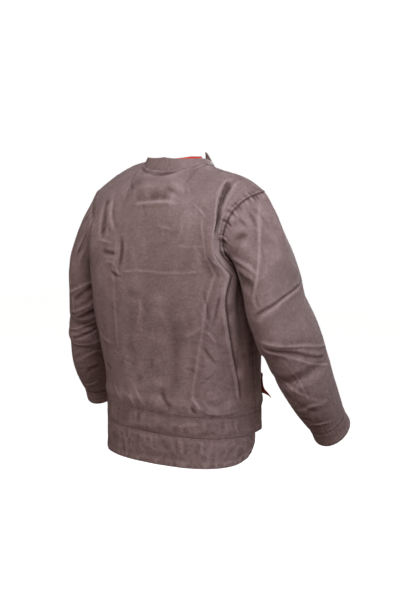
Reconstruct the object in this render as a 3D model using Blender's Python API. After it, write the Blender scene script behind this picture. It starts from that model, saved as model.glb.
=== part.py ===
"""Protective work anorak, shaped as it hangs when worn: a body with a waistband and a dropped
tail, set-in sleeves with cuffs, a stand collar, a front placket and two hip pocket flaps.

Metres, +Z up. The wearer faces -Y, so the wearer's right side is at -X. The origin is the
centre of the neck opening, level with the inner ends of the shoulder seams.
"""

import math
from collections import namedtuple

import bmesh
import bpy
from mathutils import Vector

# Cloth and colours
CLOTH = 0.002
CLOTH_ROUGHNESS = 0.9
TAUPE = (0.19, 0.135, 0.135)
RED = (0.60, 0.02, 0.01)
MITRE_LIMIT = 0.5
SEAM_GAP = 0.0006
LAYER_GAP = 0.0008

# Body, measured down from the neck points
UNDERARM_DROP = 0.280
BODY_LENGTH = 0.635
BAND_HEIGHT = 0.050
TAIL_HEIGHT = 0.079
TAIL_SIDE_HEIGHT = 0.018
TAIL_LEFT_DROP = 0.010
CHEST_HALF = 0.232
BACK_DEPTH = 0.150
FRONT_DEPTH = 0.125
WAIST_BLOUSE = 0.007
BLOUSE_LEVEL = -0.93
BLOUSE_SPAN = 0.07
BODY_LEAN = 0.027
TAIL_CORNER = 6

# Shoulders, neck and collar
SHOULDER_HALF = 0.272
SHOULDER_DROP = 0.077
SHOULDER_BACK = 0.012
SHOULDER_ROUND = 1.35
SHOULDER_SAG = 0.4
YOKE_SAG = 2.2
NECK_HALF = 0.098
NECK_BACK = 0.070
NECK_FRONT = 0.120
NECK_BACK_DROP = 0.022
NECK_FRONT_DROP = 0.050
LEFT_SHOULDER_RISE = 0.008
RIGHT_SHOULDER_DROP = 0.009
SHOULDER_TILT_AT = 0.42
SHOULDER_TILT_SPAN = 0.45
NECK_SCOOP = 1.5
NECK_LEVEL = 0.35
COLLAR_HEIGHT = 0.070
COLLAR_LEAN = 0.008
FACING_CLOTH = 0.0012
FACING_ROWS = (0.15, 0.55, 0.96)
FACING_SHORT_RIGHT = 1
FACING_SHORT_LEFT = 0.1

# Sleeves
SLEEVE_DROP = 0.648
SLEEVE_HALF = 0.100
SLEEVE_CLEAR = 0.0054
SLEEVE_SPREAD = 0.085
SLEEVE_REACH = 0.130
SLEEVE_LEFT_IN = 0.008
SLEEVE_LEFT_FORE = 0.038
CUFF_LENGTH = 0.040
CAP_OUT = 0.62
UNDERARM_OUT = 0.958
UPPER_PART = 1 / 12
ELBOW_PART = 6 / 12

# Front pieces
PLACKET_WIDTH = 0.056
PLACKET_TOP = 0.975
PLACKET_PLACES = (-1, -0.5, 0, 0.5, 1)
FLAP_WIDTH = 0.145
FLAP_HEIGHT = 0.060
FLAP_ABOVE_BAND = 0.025
FLAP_FROM_SIDE = 0.013
FLAP_FLARE = 0.018
FLAP_CURL = 3

# Facets
HALF_COLUMNS = 16
NECK_COLUMNS = 4
YOKE_STEPS = 11
CAP_STEPS = 4
ARM_STEPS = 12
TAIL_STEPS = 3
COLLAR_STEPS = 2
NEAR = 0.01

# Rows of facets between the underarm and the waistband, as shares of that length
BODY_ROWS = (0.10, 0.20, 0.31, 0.42, 0.53, 0.64, 0.75, 0.85, 0.93, 1.00)

# Cross-sections of the body from the underarm down to the waistband. down: share of that
# length; half: share of CHEST_HALF; back and front: shares of the two depths; square: how
# boxy the corners are, 2 for an ellipse.
Section = namedtuple("Section", "down half back front square")
BODY_SECTIONS = (
    Section(0.00, 1.00, 1.00, 1.00, 3.6),
    Section(0.15, 0.95, 1.00, 0.98, 3.9),
    Section(0.40, 0.95, 0.98, 0.96, 3.4),
    Section(0.70, 0.94, 0.98, 0.96, 2.8),
    Section(1.00, 0.95, 1.00, 1.00, 2.4),
)

# Rows of the yoke from the underarm up to the shoulder seams. up: share of the way; inset:
# how far the armhole cuts in, as a share of SHOULDER_HALF; bend: how far its edge stands off
# the side seam, as a share of the depth; lean: share of the way from the chest's depth to the
# neck's; square: as above.
Yoke = namedtuple("Yoke", "up inset bend lean square")
BACK_YOKE = (
    Yoke(0.00, 0.000, 0.00, 0.00, 3.6),
    Yoke(0.17, 0.110, 0.54, 0.00, 3.6),
    Yoke(0.34, 0.148, 0.64, 0.03, 3.4),
    Yoke(0.51, 0.145, 0.59, 0.10, 3.2),
    Yoke(0.68, 0.120, 0.48, 0.25, 3.0),
    Yoke(0.85, 0.070, 0.27, 0.55, 2.6),
    Yoke(1.00, 0.000, 0.00, 1.00, 2.2),
)
FRONT_YOKE = (
    Yoke(0.00, 0.000, 0.00, 0.00, 3.6),
    Yoke(0.17, 0.115, 0.48, -0.06, 3.4),
    Yoke(0.34, 0.170, 0.62, -0.08, 3.0),
    Yoke(0.51, 0.180, 0.60, -0.04, 2.8),
    Yoke(0.68, 0.155, 0.50, 0.10, 2.6),
    Yoke(0.85, 0.090, 0.30, 0.45, 2.4),
    Yoke(1.00, 0.000, 0.00, 1.00, 2.2),
)

# Sections of a sleeve from below the armhole to the cuff seam. along: share of the way; out:
# how far its inner side stands off the chest, as a share of SLEEVE_SPREAD; fore: how far
# forward its centre is, as a share of SLEEVE_REACH; down: share of the drop from the underarm
# to the cuff seam; wide and deep: half sizes front to back and across, as shares of SLEEVE_HALF.
Arm = namedtuple("Arm", "along out fore down wide deep")
ARM_SECTIONS = (
    Arm(0.00, 0.00, -0.154, 0.072, 0.98, 0.62),
    Arm(0.15, 0.10, -0.122, 0.225, 0.97, 0.645),
    Arm(0.38, 0.35, 0.088, 0.433, 0.92, 0.665),
    Arm(0.56, 0.51, 0.282, 0.593, 0.84, 0.64),
    Arm(0.76, 0.75, 0.546, 0.780, 0.73, 0.57),
    Arm(1.00, 1.00, 1.000, 1.000, 0.55, 0.46),
)

# How the left sleeve hangs differently: shares of SLEEVE_LEFT_IN and SLEEVE_LEFT_FORE
Shift = namedtuple("Shift", "along inwards fore")
LEFT_SHIFTS = (
    Shift(0.00, 0.50, 0.85),
    Shift(0.15, 1.00, 1.00),
    Shift(0.40, 0.90, 0.90),
    Shift(0.70, 0.20, 0.20),
    Shift(1.00, -0.35, -0.35),
)

# Height of the collar from the middle of the back (0) round to the front end (1), as shares of
# COLLAR_HEIGHT. left and right: on the wearer's left and right.
Stand = namedtuple("Stand", "round left right")
COLLAR_STANDS = (
    Stand(0.00, 0.46, 0.46),
    Stand(0.25, 0.35, 0.30),
    Stand(0.50, 0.18, 0.18),
    Stand(0.62, 0.34, 0.21),
    Stand(0.75, 0.66, 0.32),
    Stand(0.88, 0.92, 0.58),
    Stand(0.94, 0.98, 1.04),
    Stand(1.00, 1.00, 1.18),
)

# Long folds of the body. back: behind the side seams or not; top_t and foot_t: where the fold
# starts and ends, from the centre line (0) to the side (1), negative on the wearer's right;
# top and foot: its levels, 1 at the shoulder seams, 0 at the underarm and -1 at the
# waistband; width: its half width in t; lift: how far it stands out, or in if negative.
Fold = namedtuple("Fold", "back top_t top foot_t foot width lift")
BODY_FOLDS = (
    Fold(True, -0.56, 0.55, -0.66, -0.80, 0.12, 0.007),
    Fold(True, -0.80, 0.40, -0.84, -0.70, 0.11, -0.012),
    Fold(True, 0.58, 0.45, 0.64, -0.75, 0.11, 0.006),
    Fold(True, 0.80, 0.35, 0.84, -0.60, 0.10, -0.010),
    Fold(False, -0.62, 0.40, -0.58, -0.80, 0.14, 0.006),
    Fold(False, 0.62, 0.40, 0.58, -0.80, 0.14, 0.006),
)

# Folds across a sleeve. side: 1 for the left sleeve, -1 for the right; along: where it lies
# from the armhole (0) to the cuff seam (1); turn: the middle of the fold, in degrees from the
# outside of the arm towards its back; spread: its half width round the arm, in degrees;
# width: its half width along the arm; lift: as above.
Tuck = namedtuple("Tuck", "side along turn spread width lift")
SLEEVE_TUCKS = (
    Tuck(-1, 0.30, 80, 110, 0.10, 0.006),
    Tuck(-1, 0.56, 60, 120, 0.07, -0.008),
    Tuck(-1, 0.70, 230, 80, 0.08, -0.010),
    Tuck(1, 0.34, 120, 110, 0.09, -0.008),
    Tuck(1, 0.52, 100, 120, 0.08, 0.006),
    Tuck(1, 0.70, 230, 80, 0.08, -0.010),
)


def lerp(a, b, share):
    return a + (b - a) * share


def smooth(share):
    share = min(max(share, 0.0), 1.0)
    return share * share * (3.0 - 2.0 * share)


def bump(distance):
    """1 in the middle, falling smoothly to 0 at a distance of 1."""
    return 1.0 - smooth(abs(distance))


def hermite(a, slope_a, b, slope_b, s):
    """A point s of the way along a curve from a to b, with these slopes at its ends."""
    return (
        (2 * s**3 - 3 * s**2 + 1) * a
        + (s**3 - 2 * s**2 + s) * slope_a
        + (3 * s**2 - 2 * s**3) * b
        + (s**3 - s**2) * slope_b
    )


def between(table, at):
    """The table's row at a place along its first column, on a smooth curve through its rows."""
    last = len(table) - 1
    k = 0
    while k < last - 1 and at > table[k + 1][0]:
        k += 1
    before, a = table[max(k - 1, 0)], table[k]
    b, after = table[k + 1], table[min(k + 2, last)]
    span = b[0] - a[0]
    row = [at]
    for column in range(1, len(a)):
        slope_a = (b[column] - before[column]) / (b[0] - before[0]) * span
        slope_b = (after[column] - a[column]) / (after[0] - a[0]) * span
        row.append(hermite(a[column], slope_a, b[column], slope_b, (at - a[0]) / span))
    return type(a)(*row)


def boxy(t, square):
    """A point on a quarter of a rounded box of half sizes 1, t of the way round: (across, along)."""
    angle = t * math.pi / 2
    s, c = math.sin(angle), math.cos(angle)
    reach = (s**square + c**square) ** (-1 / square)
    return s * reach, c * reach


def neck_edge(back, t):
    """The top edge of the body: the neck opening, then the shoulder seam."""
    neck_t = NECK_COLUMNS / HALF_COLUMNS
    if t < neck_t:
        angle = t / neck_t * math.pi / 2
        depth, drop = (NECK_BACK, NECK_BACK_DROP) if back else (-NECK_FRONT, NECK_FRONT_DROP)
        along = math.cos(angle)
        return Vector((NECK_HALF * math.sin(angle), depth * along, -drop * along**NECK_SCOOP))
    out = (t - neck_t) / (1 - neck_t)
    drop = SHOULDER_DROP * lerp(out, out**3, SHOULDER_SAG)
    return Vector((lerp(NECK_HALF, SHOULDER_HALF, out), SHOULDER_BACK * out, -drop))


def yoke_row(back, t, up):
    """A point of a yoke row, from the middle of the row to the armhole, before the neck is cut."""
    row = between(BACK_YOKE if back else FRONT_YOKE, up)
    depth, neck = (BACK_DEPTH, NECK_BACK) if back else (-FRONT_DEPTH, -NECK_FRONT)
    neck_drop = NECK_BACK_DROP if back else NECK_FRONT_DROP
    end_x = lerp(CHEST_HALF, SHOULDER_HALF, up) - row.inset * SHOULDER_HALF
    end_y = row.bend * depth + SHOULDER_BACK * up
    across, along = boxy(t, row.square)
    rise = 1 - (1 - up) ** SHOULDER_ROUND
    middle_drop = lerp(UNDERARM_DROP, neck_drop, rise)
    end_drop = lerp(UNDERARM_DROP, SHOULDER_DROP, rise)
    return Vector(
        (
            end_x * across,
            lerp(end_y, lerp(depth, neck, row.lean), along),
            -lerp(middle_drop, end_drop, across**YOKE_SAG),
        )
    )


def body_face(back, t, level):
    """The body without its folds. t runs from the centre line (0) to the side seam or armhole
    (1); level is 1 at the shoulder seams, 0 at the underarm and -1 at the waistband."""
    if level <= 0:
        row = between(BODY_SECTIONS, -level)
        across, along = boxy(t, row.square)
        depth = BACK_DEPTH * row.back if back else -FRONT_DEPTH * row.front
        lean = BODY_LEAN * smooth(-level)
        drop = lerp(UNDERARM_DROP, BODY_LENGTH, -level)
        return Vector((CHEST_HALF * row.half * across, depth * along - lean, -drop))
    cut = neck_edge(back, t) - yoke_row(back, t, 1.0)
    return yoke_row(back, t, level) + cut * smooth((level - NECK_LEVEL) / (1 - NECK_LEVEL))


def body_point(back, t, level):
    """A point of the body's outer face, negative t being on the wearer's right."""
    side = -1 if t < 0 else 1
    point = body_face(back, abs(t), level)
    point.x *= side
    tilt = bump((abs(t) - SHOULDER_TILT_AT) / SHOULDER_TILT_SPAN)
    tilt *= smooth((level - NECK_LEVEL) / (1 - NECK_LEVEL))
    point.z += (-RIGHT_SHOULDER_DROP if t < 0 else LEFT_SHOULDER_RISE) * tilt
    lift = WAIST_BLOUSE * bump((level - BLOUSE_LEVEL) / BLOUSE_SPAN)
    for fold in BODY_FOLDS:
        if fold.back == back and fold.foot < level < fold.top:
            share = (fold.top - level) / (fold.top - fold.foot)
            middle = lerp(fold.top_t, fold.foot_t, share)
            lift += fold.lift * bump((t - middle) / fold.width) * math.sqrt(math.sin(math.pi * share))
    away = Vector((point.x / CHEST_HALF**2, (point.y + BODY_LEAN * smooth(-level)) / BACK_DEPTH**2, 0))
    return point + away.normalized() * lift


def band_point(back, t, below):
    """A point of the outer face below the waistband seam, at a distance below it."""
    point = body_point(back, t, -1.0)
    point.z -= below
    return point


def tail_height(t):
    """The tail's height below the band; it hangs a little lower on the wearer's left."""
    return lerp(TAIL_SIDE_HEIGHT, TAIL_HEIGHT, math.sqrt(1 - abs(t) ** TAIL_CORNER)) + TAIL_LEFT_DROP * t


def armhole(side):
    """The armhole's edge, from the shoulder down the back to the underarm and up the front."""
    levels = [k / YOKE_STEPS for k in range(YOKE_STEPS + 1)]
    back = [body_point(True, side, level) for level in reversed(levels)]
    front = [body_point(False, side, level) for level in levels[1:-1]]
    return back + front


def arm_frame(side, along):
    """Centre, direction and half sizes of the arm: (centre, down the arm, outwards, back, row)."""

    def centre(at):
        row = between(ARM_SECTIONS, at)
        shift = between(LEFT_SHIFTS, at)
        inwards = shift.inwards * SLEEVE_LEFT_IN if side > 0 else 0.0
        forwards = shift.fore * SLEEVE_LEFT_FORE if side > 0 else 0.0
        inner_side = CHEST_HALF + SLEEVE_CLEAR + row.out * SLEEVE_SPREAD
        return Vector(
            (
                side * (inner_side + row.deep * SLEEVE_HALF - inwards),
                -row.fore * SLEEVE_REACH - forwards,
                -lerp(UNDERARM_DROP, SLEEVE_DROP, row.down),
            )
        )

    along_arm = (centre(min(along + NEAR, 1)) - centre(max(along - NEAR, 0))).normalized()
    outwards = Vector((side, 0, 0))
    outwards = (outwards - along_arm * outwards.dot(along_arm)).normalized()
    back = outwards.cross(along_arm) * side
    return centre(along), along_arm, outwards, back, between(ARM_SECTIONS, along)


def arm_ring(side, along, further=0.0):
    """A ring of points round the arm, starting on its outside and going round the back."""
    centre, along_arm, outwards, back, row = arm_frame(side, along)
    count = 2 * YOKE_STEPS
    ring = []
    for k in range(count):
        angle = 2 * math.pi * k / count
        lift = 0.0
        for tuck in SLEEVE_TUCKS:
            if tuck.side == side:
                off = (math.degrees(angle) - tuck.turn + 180) % 360 - 180
                lift += tuck.lift * bump(off / tuck.spread) * bump((along - tuck.along) / tuck.width)
        deep = SLEEVE_HALF * row.deep + lift
        wide = SLEEVE_HALF * row.wide + lift
        ring.append(
            centre
            + outwards * deep * math.cos(angle)
            + back * wide * math.sin(angle)
            + along_arm * further
        )
    return ring


def cap_rings(side):
    """Rings from the armhole's edge to the first ring of the arm, curving over the shoulder."""
    edge, first = armhole(side), arm_ring(side, 0)
    along_arm = arm_frame(side, 0)[1]
    rings = []
    for k in range(CAP_STEPS):
        ring = []
        for j, (a, b) in enumerate(zip(edge, first)):
            top = (1 + math.cos(2 * math.pi * j / len(edge))) / 2
            out = lerp(UNDERARM_OUT, CAP_OUT, top)
            reach = (b - a).length
            start = Vector((side * out, 0, -math.sqrt(1 - out**2)))
            ring.append(hermite(a, start * reach, b, along_arm * reach, k / CAP_STEPS))
        rings.append(ring)
    return rings


def span(side_from, side_to):
    """The body's columns as places t, from one side to the other."""
    count = round((side_to - side_from) * HALF_COLUMNS)
    return [side_from + k / HALF_COLUMNS for k in range(count + 1)]


def neck_places():
    """Places round the neck: (back, t, round), from the right front end to the left one."""
    quarter = [k / HALF_COLUMNS for k in range(NECK_COLUMNS + 1)]
    half = [(True, t, t * HALF_COLUMNS / NECK_COLUMNS / 2) for t in quarter]
    half += [(False, t, 1 - t * HALF_COLUMNS / NECK_COLUMNS / 2) for t in quarter[-2::-1]]
    right = [(back, -t, round_it) for back, t, round_it in reversed(half)]
    return right + half[1:]


def collar_grid(places):
    rows = []
    for k in range(COLLAR_STEPS + 1):
        up = k / COLLAR_STEPS
        row = []
        for number, (back, t, round_it) in enumerate(places):
            seam = body_point(back, t, 1.0)
            stand = between(COLLAR_STANDS, round_it)
            height = COLLAR_HEIGHT * (stand.right if number < len(places) / 2 else stand.left)
            inwards = -Vector((seam.x, seam.y, 0)).normalized() * COLLAR_LEAN
            row.append(seam + Vector((0, 0, height * up)) + inwards * up)
        rows.append(row)
    return rows


def body_levels():
    """Levels of the body's rows, from the waistband up to the shoulder seams."""
    return [-down for down in reversed(BODY_ROWS)] + [k / YOKE_STEPS for k in range(YOKE_STEPS + 1)]


def body_grid(back, side_from, side_to):
    places = span(side_from, side_to)
    return [[body_point(back, t, level) for t in places] for level in body_levels()]


def band_grid(back, side_from, side_to):
    places = span(side_from, side_to)
    return [[band_point(back, t, below) for t in places] for below in (BAND_HEIGHT, BAND_HEIGHT / 2, 0.0)]


def tail_grid():
    rows = []
    for k in range(TAIL_STEPS, -1, -1):
        share = k / TAIL_STEPS
        rows.append([band_point(True, t, BAND_HEIGHT + tail_height(t) * share) for t in span(-1, 1)])
    return rows


def sleeve_grid(side):
    rings = cap_rings(side)
    rings += [arm_ring(side, k / ARM_STEPS) for k in range(ARM_STEPS + 1)]
    return rings


def sleeve_parts(side):
    """The sleeve's rings in three lengths: upper, elbow and lower."""
    rings = sleeve_grid(side)
    upper, elbow = (CAP_STEPS + round(part * ARM_STEPS) for part in (UPPER_PART, ELBOW_PART))
    cuts = (0, upper, elbow, len(rings) - 1)
    return [rings[first : last + 1] for first, last in zip(cuts, cuts[1:])]


def cuff_grid(side):
    return [arm_ring(side, 1.0, CUFF_LENGTH * share) for share in (0.0, 0.5, 1.0)]


def place_at(x, level):
    """The front's place t at a distance x from the centre line."""
    low, high = 0.0, 1.0
    for _ in range(30):
        middle = (low + high) / 2
        if body_face(False, middle, level).x < x:
            low = middle
        else:
            high = middle
    return low


def layered(back, t, level, lift):
    """A point that lies on the body's outer face, lifted off it."""
    low_t, high_t = max(t - NEAR, -1.0), min(t + NEAR, 1.0)
    low, high = max(level - NEAR, -1.0), min(level + NEAR, 1.0)
    round_it = body_point(back, high_t, level) - body_point(back, low_t, level)
    upwards = body_point(back, t, high) - body_point(back, t, low)
    away = round_it.cross(upwards) if not back else upwards.cross(round_it)
    return body_point(back, t, level) + away.normalized() * lift


def with_columns(low, high):
    """Places from low to high, with every column of the body between them."""
    columns = [k / HALF_COLUMNS for k in range(-HALF_COLUMNS, HALF_COLUMNS + 1)]
    return [low] + [t for t in columns if low + NEAR < t < high - NEAR] + [high]


def with_rows(low, high):
    """Levels from low to high, with every row of the body between them."""
    return [low] + [level for level in body_levels() if low + NEAR < level < high - NEAR] + [high]


def level_at(drop):
    """The level of a place between the underarm and the waistband, from its drop below the neck."""
    return -(drop - UNDERARM_DROP) / (BODY_LENGTH - UNDERARM_DROP)


def placket_grid():
    """The strip down the front, from the hem to just below the neck seam."""
    levels = [(-1.0, BAND_HEIGHT), (-1.0, BAND_HEIGHT / 2)]
    levels += [(level, 0.0) for level in body_levels()[:-1]] + [(PLACKET_TOP, 0.0)]
    rows = []
    for level, below in levels:
        edge = place_at(PLACKET_WIDTH / 2, level)
        places = [edge * share for share in PLACKET_PLACES]
        rows.append([layered(False, t, level, CLOTH + LAYER_GAP) - Vector((0, 0, below)) for t in places])
    return rows


def flap_grid(side):
    """The flap of a hip pocket, whose rear lower corner stands away from the body."""
    foot_drop = BODY_LENGTH - FLAP_ABOVE_BAND
    foot, top = level_at(foot_drop), level_at(foot_drop - FLAP_HEIGHT)
    rear = body_face(False, 1.0, foot).x - FLAP_FROM_SIDE
    inner, outer = place_at(rear - FLAP_WIDTH, foot), place_at(rear, foot)
    places = with_columns(inner, outer)
    rows = []
    for level in with_rows(foot, top):
        down = (top - level) / (top - foot)
        row = []
        for t in places:
            flare = FLAP_FLARE * down**FLAP_CURL * smooth((t - inner) / (outer - inner))
            row.append(layered(False, side * t, level, CLOTH + LAYER_GAP + flare))
        rows.append(row if side > 0 else row[::-1])
    return rows


def collar_facing_grid():
    """The lining of the collar, which stops short of the right front end."""
    places = neck_places()
    collar = collar_grid(places)
    foot, top = collar[0], collar[-1]
    rows = []
    for up in FACING_ROWS:
        row = [low.lerp(high, up) for low, high in zip(foot, top)]
        row = [p - Vector((p.x, p.y, 0)).normalized() * (CLOTH + LAYER_GAP) for p in row]
        row = row[FACING_SHORT_RIGHT:]
        row[-1] = row[-1].lerp(row[-2], FACING_SHORT_LEFT)
        rows.append(row)
    return rows


# A sheet of cloth. grid: rows of points on its outer face; turn: 1 where the outer face is the
# one that sees the columns run to the right as the rows run up, -1 where it is the other one;
# ring: whether the rows close on themselves.
Sheet = namedtuple("Sheet", "name grid turn ring cloth material")


def unit_normals(sheet):
    """The normal at each point of a sheet, from its own facets."""
    grid = sheet.grid
    rows, columns = len(grid), len(grid[0])
    normals = [[Vector() for _ in range(columns)] for _ in range(rows)]
    for r in range(rows - 1):
        for c in range(columns if sheet.ring else columns - 1):
            d = (c + 1) % columns
            across = grid[r + 1][d] - grid[r][c]
            other = grid[r + 1][c] - grid[r][d]
            normal = across.cross(other) * sheet.turn
            for row, column in ((r, c), (r, d), (r + 1, c), (r + 1, d)):
                normals[row][column] += normal
    return [[normal.normalized() for normal in row] for row in normals]


def spot(point):
    return tuple(round(value, 6) for value in point)


def shared_normals(sheets):
    """For each place, the sum of the normals of all sheets that meet there, and their number."""
    shared = {}
    for sheet in sheets:
        for row, normal_row in zip(sheet.grid, unit_normals(sheet)):
            for point, normal in zip(row, normal_row):
                total, count = shared.get(spot(point), (Vector(), 0))
                shared[spot(point)] = (total + normal, count + 1)
    return shared


def inner_grid(sheet, shared):
    """The sheet's inner face, on the mitre where sheets meet."""
    rows = []
    for row in sheet.grid:
        inner = []
        for point in row:
            total, count = shared[spot(point)]
            mitre = max(total.length / count, MITRE_LIMIT)
            inner.append(point - total.normalized() * sheet.cloth / mitre)
        rows.append(inner)
    return rows


def drawn_in(grid, ring):
    """The grid with its edges drawn in by half the gap of a seam."""
    rows, columns = len(grid), len(grid[0])
    half = SEAM_GAP / 2
    result = [[point.copy() for point in row] for row in grid]
    for c in range(columns):
        for edge, beside in ((0, 1), (rows - 1, rows - 2)):
            result[edge][c] += (grid[beside][c] - grid[edge][c]).normalized() * half
    if not ring:
        for r in range(rows):
            for edge, beside in ((0, 1), (columns - 1, columns - 2)):
                result[r][edge] += (grid[r][beside] - grid[r][edge]).normalized() * half
    return result


def rims(rows, columns, ring):
    """The edges of a grid, as closed loops of (row, column)."""
    if ring:
        return [[(edge, c) for c in range(columns)] for edge in (0, rows - 1)]
    loop = [(0, c) for c in range(columns)]
    loop += [(r, columns - 1) for r in range(1, rows)]
    loop += [(rows - 1, c) for c in reversed(range(columns - 1))]
    loop += [(r, 0) for r in reversed(range(1, rows - 1))]
    return [loop]


def build_sheet(sheet, shared):
    rows, columns = len(sheet.grid), len(sheet.grid[0])
    bm = bmesh.new()
    faces = []
    for grid in (sheet.grid, inner_grid(sheet, shared)):
        faces.append([[bm.verts.new(point) for point in row] for row in drawn_in(grid, sheet.ring)])
    for verts in faces:
        for r in range(rows - 1):
            for c in range(columns if sheet.ring else columns - 1):
                d = (c + 1) % columns
                bm.faces.new((verts[r][c], verts[r][d], verts[r + 1][d]))
                bm.faces.new((verts[r][c], verts[r + 1][d], verts[r + 1][c]))
    outer, inner = faces
    for loop in rims(rows, columns, sheet.ring):
        for pair in zip(loop, loop[1:] + loop[:1]):
            # The same diagonal on both sides of a seam
            (r, c), (s, d) = sorted(pair, key=lambda at: spot(sheet.grid[at[0]][at[1]]))
            bm.faces.new((outer[r][c], outer[s][d], inner[s][d]))
            bm.faces.new((outer[r][c], inner[s][d], inner[r][c]))
    bmesh.ops.recalc_face_normals(bm, faces=bm.faces)
    mesh = bpy.data.meshes.new(sheet.name)
    bm.to_mesh(mesh)
    bm.free()
    mesh.materials.append(sheet.material)
    bpy.context.collection.objects.link(bpy.data.objects.new(sheet.name, mesh))


def cloth_material(name, colour):
    material = bpy.data.materials.new(name)
    material.use_nodes = True
    shader = material.node_tree.nodes["Principled BSDF"]
    shader.inputs["Base Color"].default_value = (*colour, 1)
    shader.inputs["Roughness"].default_value = CLOTH_ROUGHNESS
    shader.inputs["Metallic"].default_value = 0
    return material


def all_sheets():
    taupe = cloth_material("taupe_cotton", TAUPE)
    red = cloth_material("red_cotton", RED)
    sheets = [
        Sheet("back_panel", body_grid(True, -1, 1), -1, False, CLOTH, taupe),
        Sheet("band_back", band_grid(True, -1, 1), -1, False, CLOTH, taupe),
        Sheet("tail", tail_grid(), -1, False, CLOTH, taupe),
        Sheet("placket", placket_grid(), 1, False, CLOTH, taupe),
        Sheet("collar", collar_grid(neck_places()), -1, False, CLOTH, taupe),
        Sheet("collar_facing", collar_facing_grid(), -1, False, FACING_CLOTH, red),
    ]
    for side, name in ((-1, "right"), (1, "left")):
        low, high = min(side, 0), max(side, 0)
        sheets += [
            Sheet(f"front_panel_{name}", body_grid(False, low, high), 1, False, CLOTH, taupe),
            Sheet(f"band_{name}", band_grid(False, low, high), 1, False, CLOTH, taupe),
            Sheet(f"cuff_{name}", cuff_grid(side), -side, True, CLOTH, taupe),
            Sheet(f"pocket_flap_{name}", flap_grid(side), 1, False, CLOTH, red),
        ]
        for part, rings in zip(("upper", "elbow", "lower"), sleeve_parts(side)):
            sheets.append(Sheet(f"sleeve_{part}_{name}", rings, -side, True, CLOTH, taupe))
    return sheets


def main():
    for thing in list(bpy.data.objects):
        bpy.data.objects.remove(thing, do_unlink=True)
    sheets = all_sheets()
    shared = shared_normals(sheets)
    for sheet in sheets:
        build_sheet(sheet, shared)


main()
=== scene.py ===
"""Looks of the protective work anorak: its cloth pieces, seams, stitching, folds and finishes.

Metres, +Z up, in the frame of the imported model: the jacket faces -Y and its right side is at -X.
Every cloth piece lies on the shape of the solid that it stands for, with fine folds, seam edges
and a weave on top. On the body, t runs from the middle (0) to the side (1), and level is 1 at the
shoulder seams, 0 at the underarm and -1 at the waistband.
"""

import math
from collections import namedtuple
from itertools import product

import bpy
import numpy as np
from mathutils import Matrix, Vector


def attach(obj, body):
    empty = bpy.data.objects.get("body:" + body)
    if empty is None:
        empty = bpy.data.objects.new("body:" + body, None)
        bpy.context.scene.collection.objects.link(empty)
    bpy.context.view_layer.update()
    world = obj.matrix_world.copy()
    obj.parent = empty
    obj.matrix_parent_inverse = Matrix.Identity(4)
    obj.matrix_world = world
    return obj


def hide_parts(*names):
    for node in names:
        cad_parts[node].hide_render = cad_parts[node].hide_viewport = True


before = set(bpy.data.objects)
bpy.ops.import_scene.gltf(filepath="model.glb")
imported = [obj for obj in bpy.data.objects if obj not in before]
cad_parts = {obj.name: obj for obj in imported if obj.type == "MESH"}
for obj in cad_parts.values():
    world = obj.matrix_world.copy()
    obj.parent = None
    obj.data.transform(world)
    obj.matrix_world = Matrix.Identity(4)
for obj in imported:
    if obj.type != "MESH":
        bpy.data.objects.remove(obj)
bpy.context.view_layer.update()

# Cloth walls
CLOTH = 0.0018
FACING_CLOTH = 0.0012
CUFF_CLOTH = 0.0026
LAYER_LIFT = 0.0028

# Body, measured down from the neck points
UNDERARM_DROP = 0.280
BODY_LENGTH = 0.635
BAND_HEIGHT = 0.050
TAIL_HEIGHT = 0.079
TAIL_SIDE_HEIGHT = 0.018
TAIL_LEFT_DROP = 0.010
TAIL_CORNER = 6
CHEST_HALF = 0.232
BACK_DEPTH = 0.150
FRONT_DEPTH = 0.125
WAIST_BLOUSE = 0.003
BLOUSE_LEVEL = -0.93
BLOUSE_SPAN = 0.07
BODY_LEAN = 0.027

# Shoulders, neck and collar
SHOULDER_HALF = 0.272
SHOULDER_DROP = 0.077
SHOULDER_BACK = 0.012
SHOULDER_ROUND = 1.35
SHOULDER_SAG = 0.4
YOKE_SAG = 2.2
NECK_T = 0.25
NECK_HALF = 0.098
NECK_BACK = 0.070
NECK_FRONT = 0.120
NECK_BACK_DROP = 0.022
NECK_FRONT_DROP = 0.050
LEFT_SHOULDER_RISE = 0.008
RIGHT_SHOULDER_DROP = 0.009
SHOULDER_TILT_AT = 0.42
SHOULDER_TILT_SPAN = 0.45
NECK_SCOOP = 1.5
NECK_LEVEL = 0.35
COLLAR_HEIGHT = 0.070
COLLAR_LEAN = 0.008
COLLAR_SHORT_RIGHT = 2
FACING_FROM = 0.12
FACING_TO = 0.985
FACING_SHORT_RIGHT = 0.125
FACING_GAP = 0.0006

# Sleeves
SLEEVE_DROP = 0.648
SLEEVE_HALF = 0.100
SLEEVE_FILL = 0.8
SLEEVE_CLEAR = 0.0054
SLEEVE_SPREAD = 0.085
SLEEVE_REACH = 0.130
SLEEVE_LEFT_IN = 0.008
SLEEVE_LEFT_FORE = 0.038
CUFF_LENGTH = 0.040
CAP_OUT = 0.62
CAP_ALONG = -0.25
UNDERARM_OUT = 0.958

# Front pieces
PLACKET_WIDTH = 0.056
PLACKET_TOP = 0.975
FLAP_WIDTH = 0.145
FLAP_HEIGHT = 0.060
FLAP_ABOVE_BAND = 0.025
FLAP_FROM_SIDE = 0.013
FLAP_FLARE = 0.018
FLAP_CURL = 3

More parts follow.
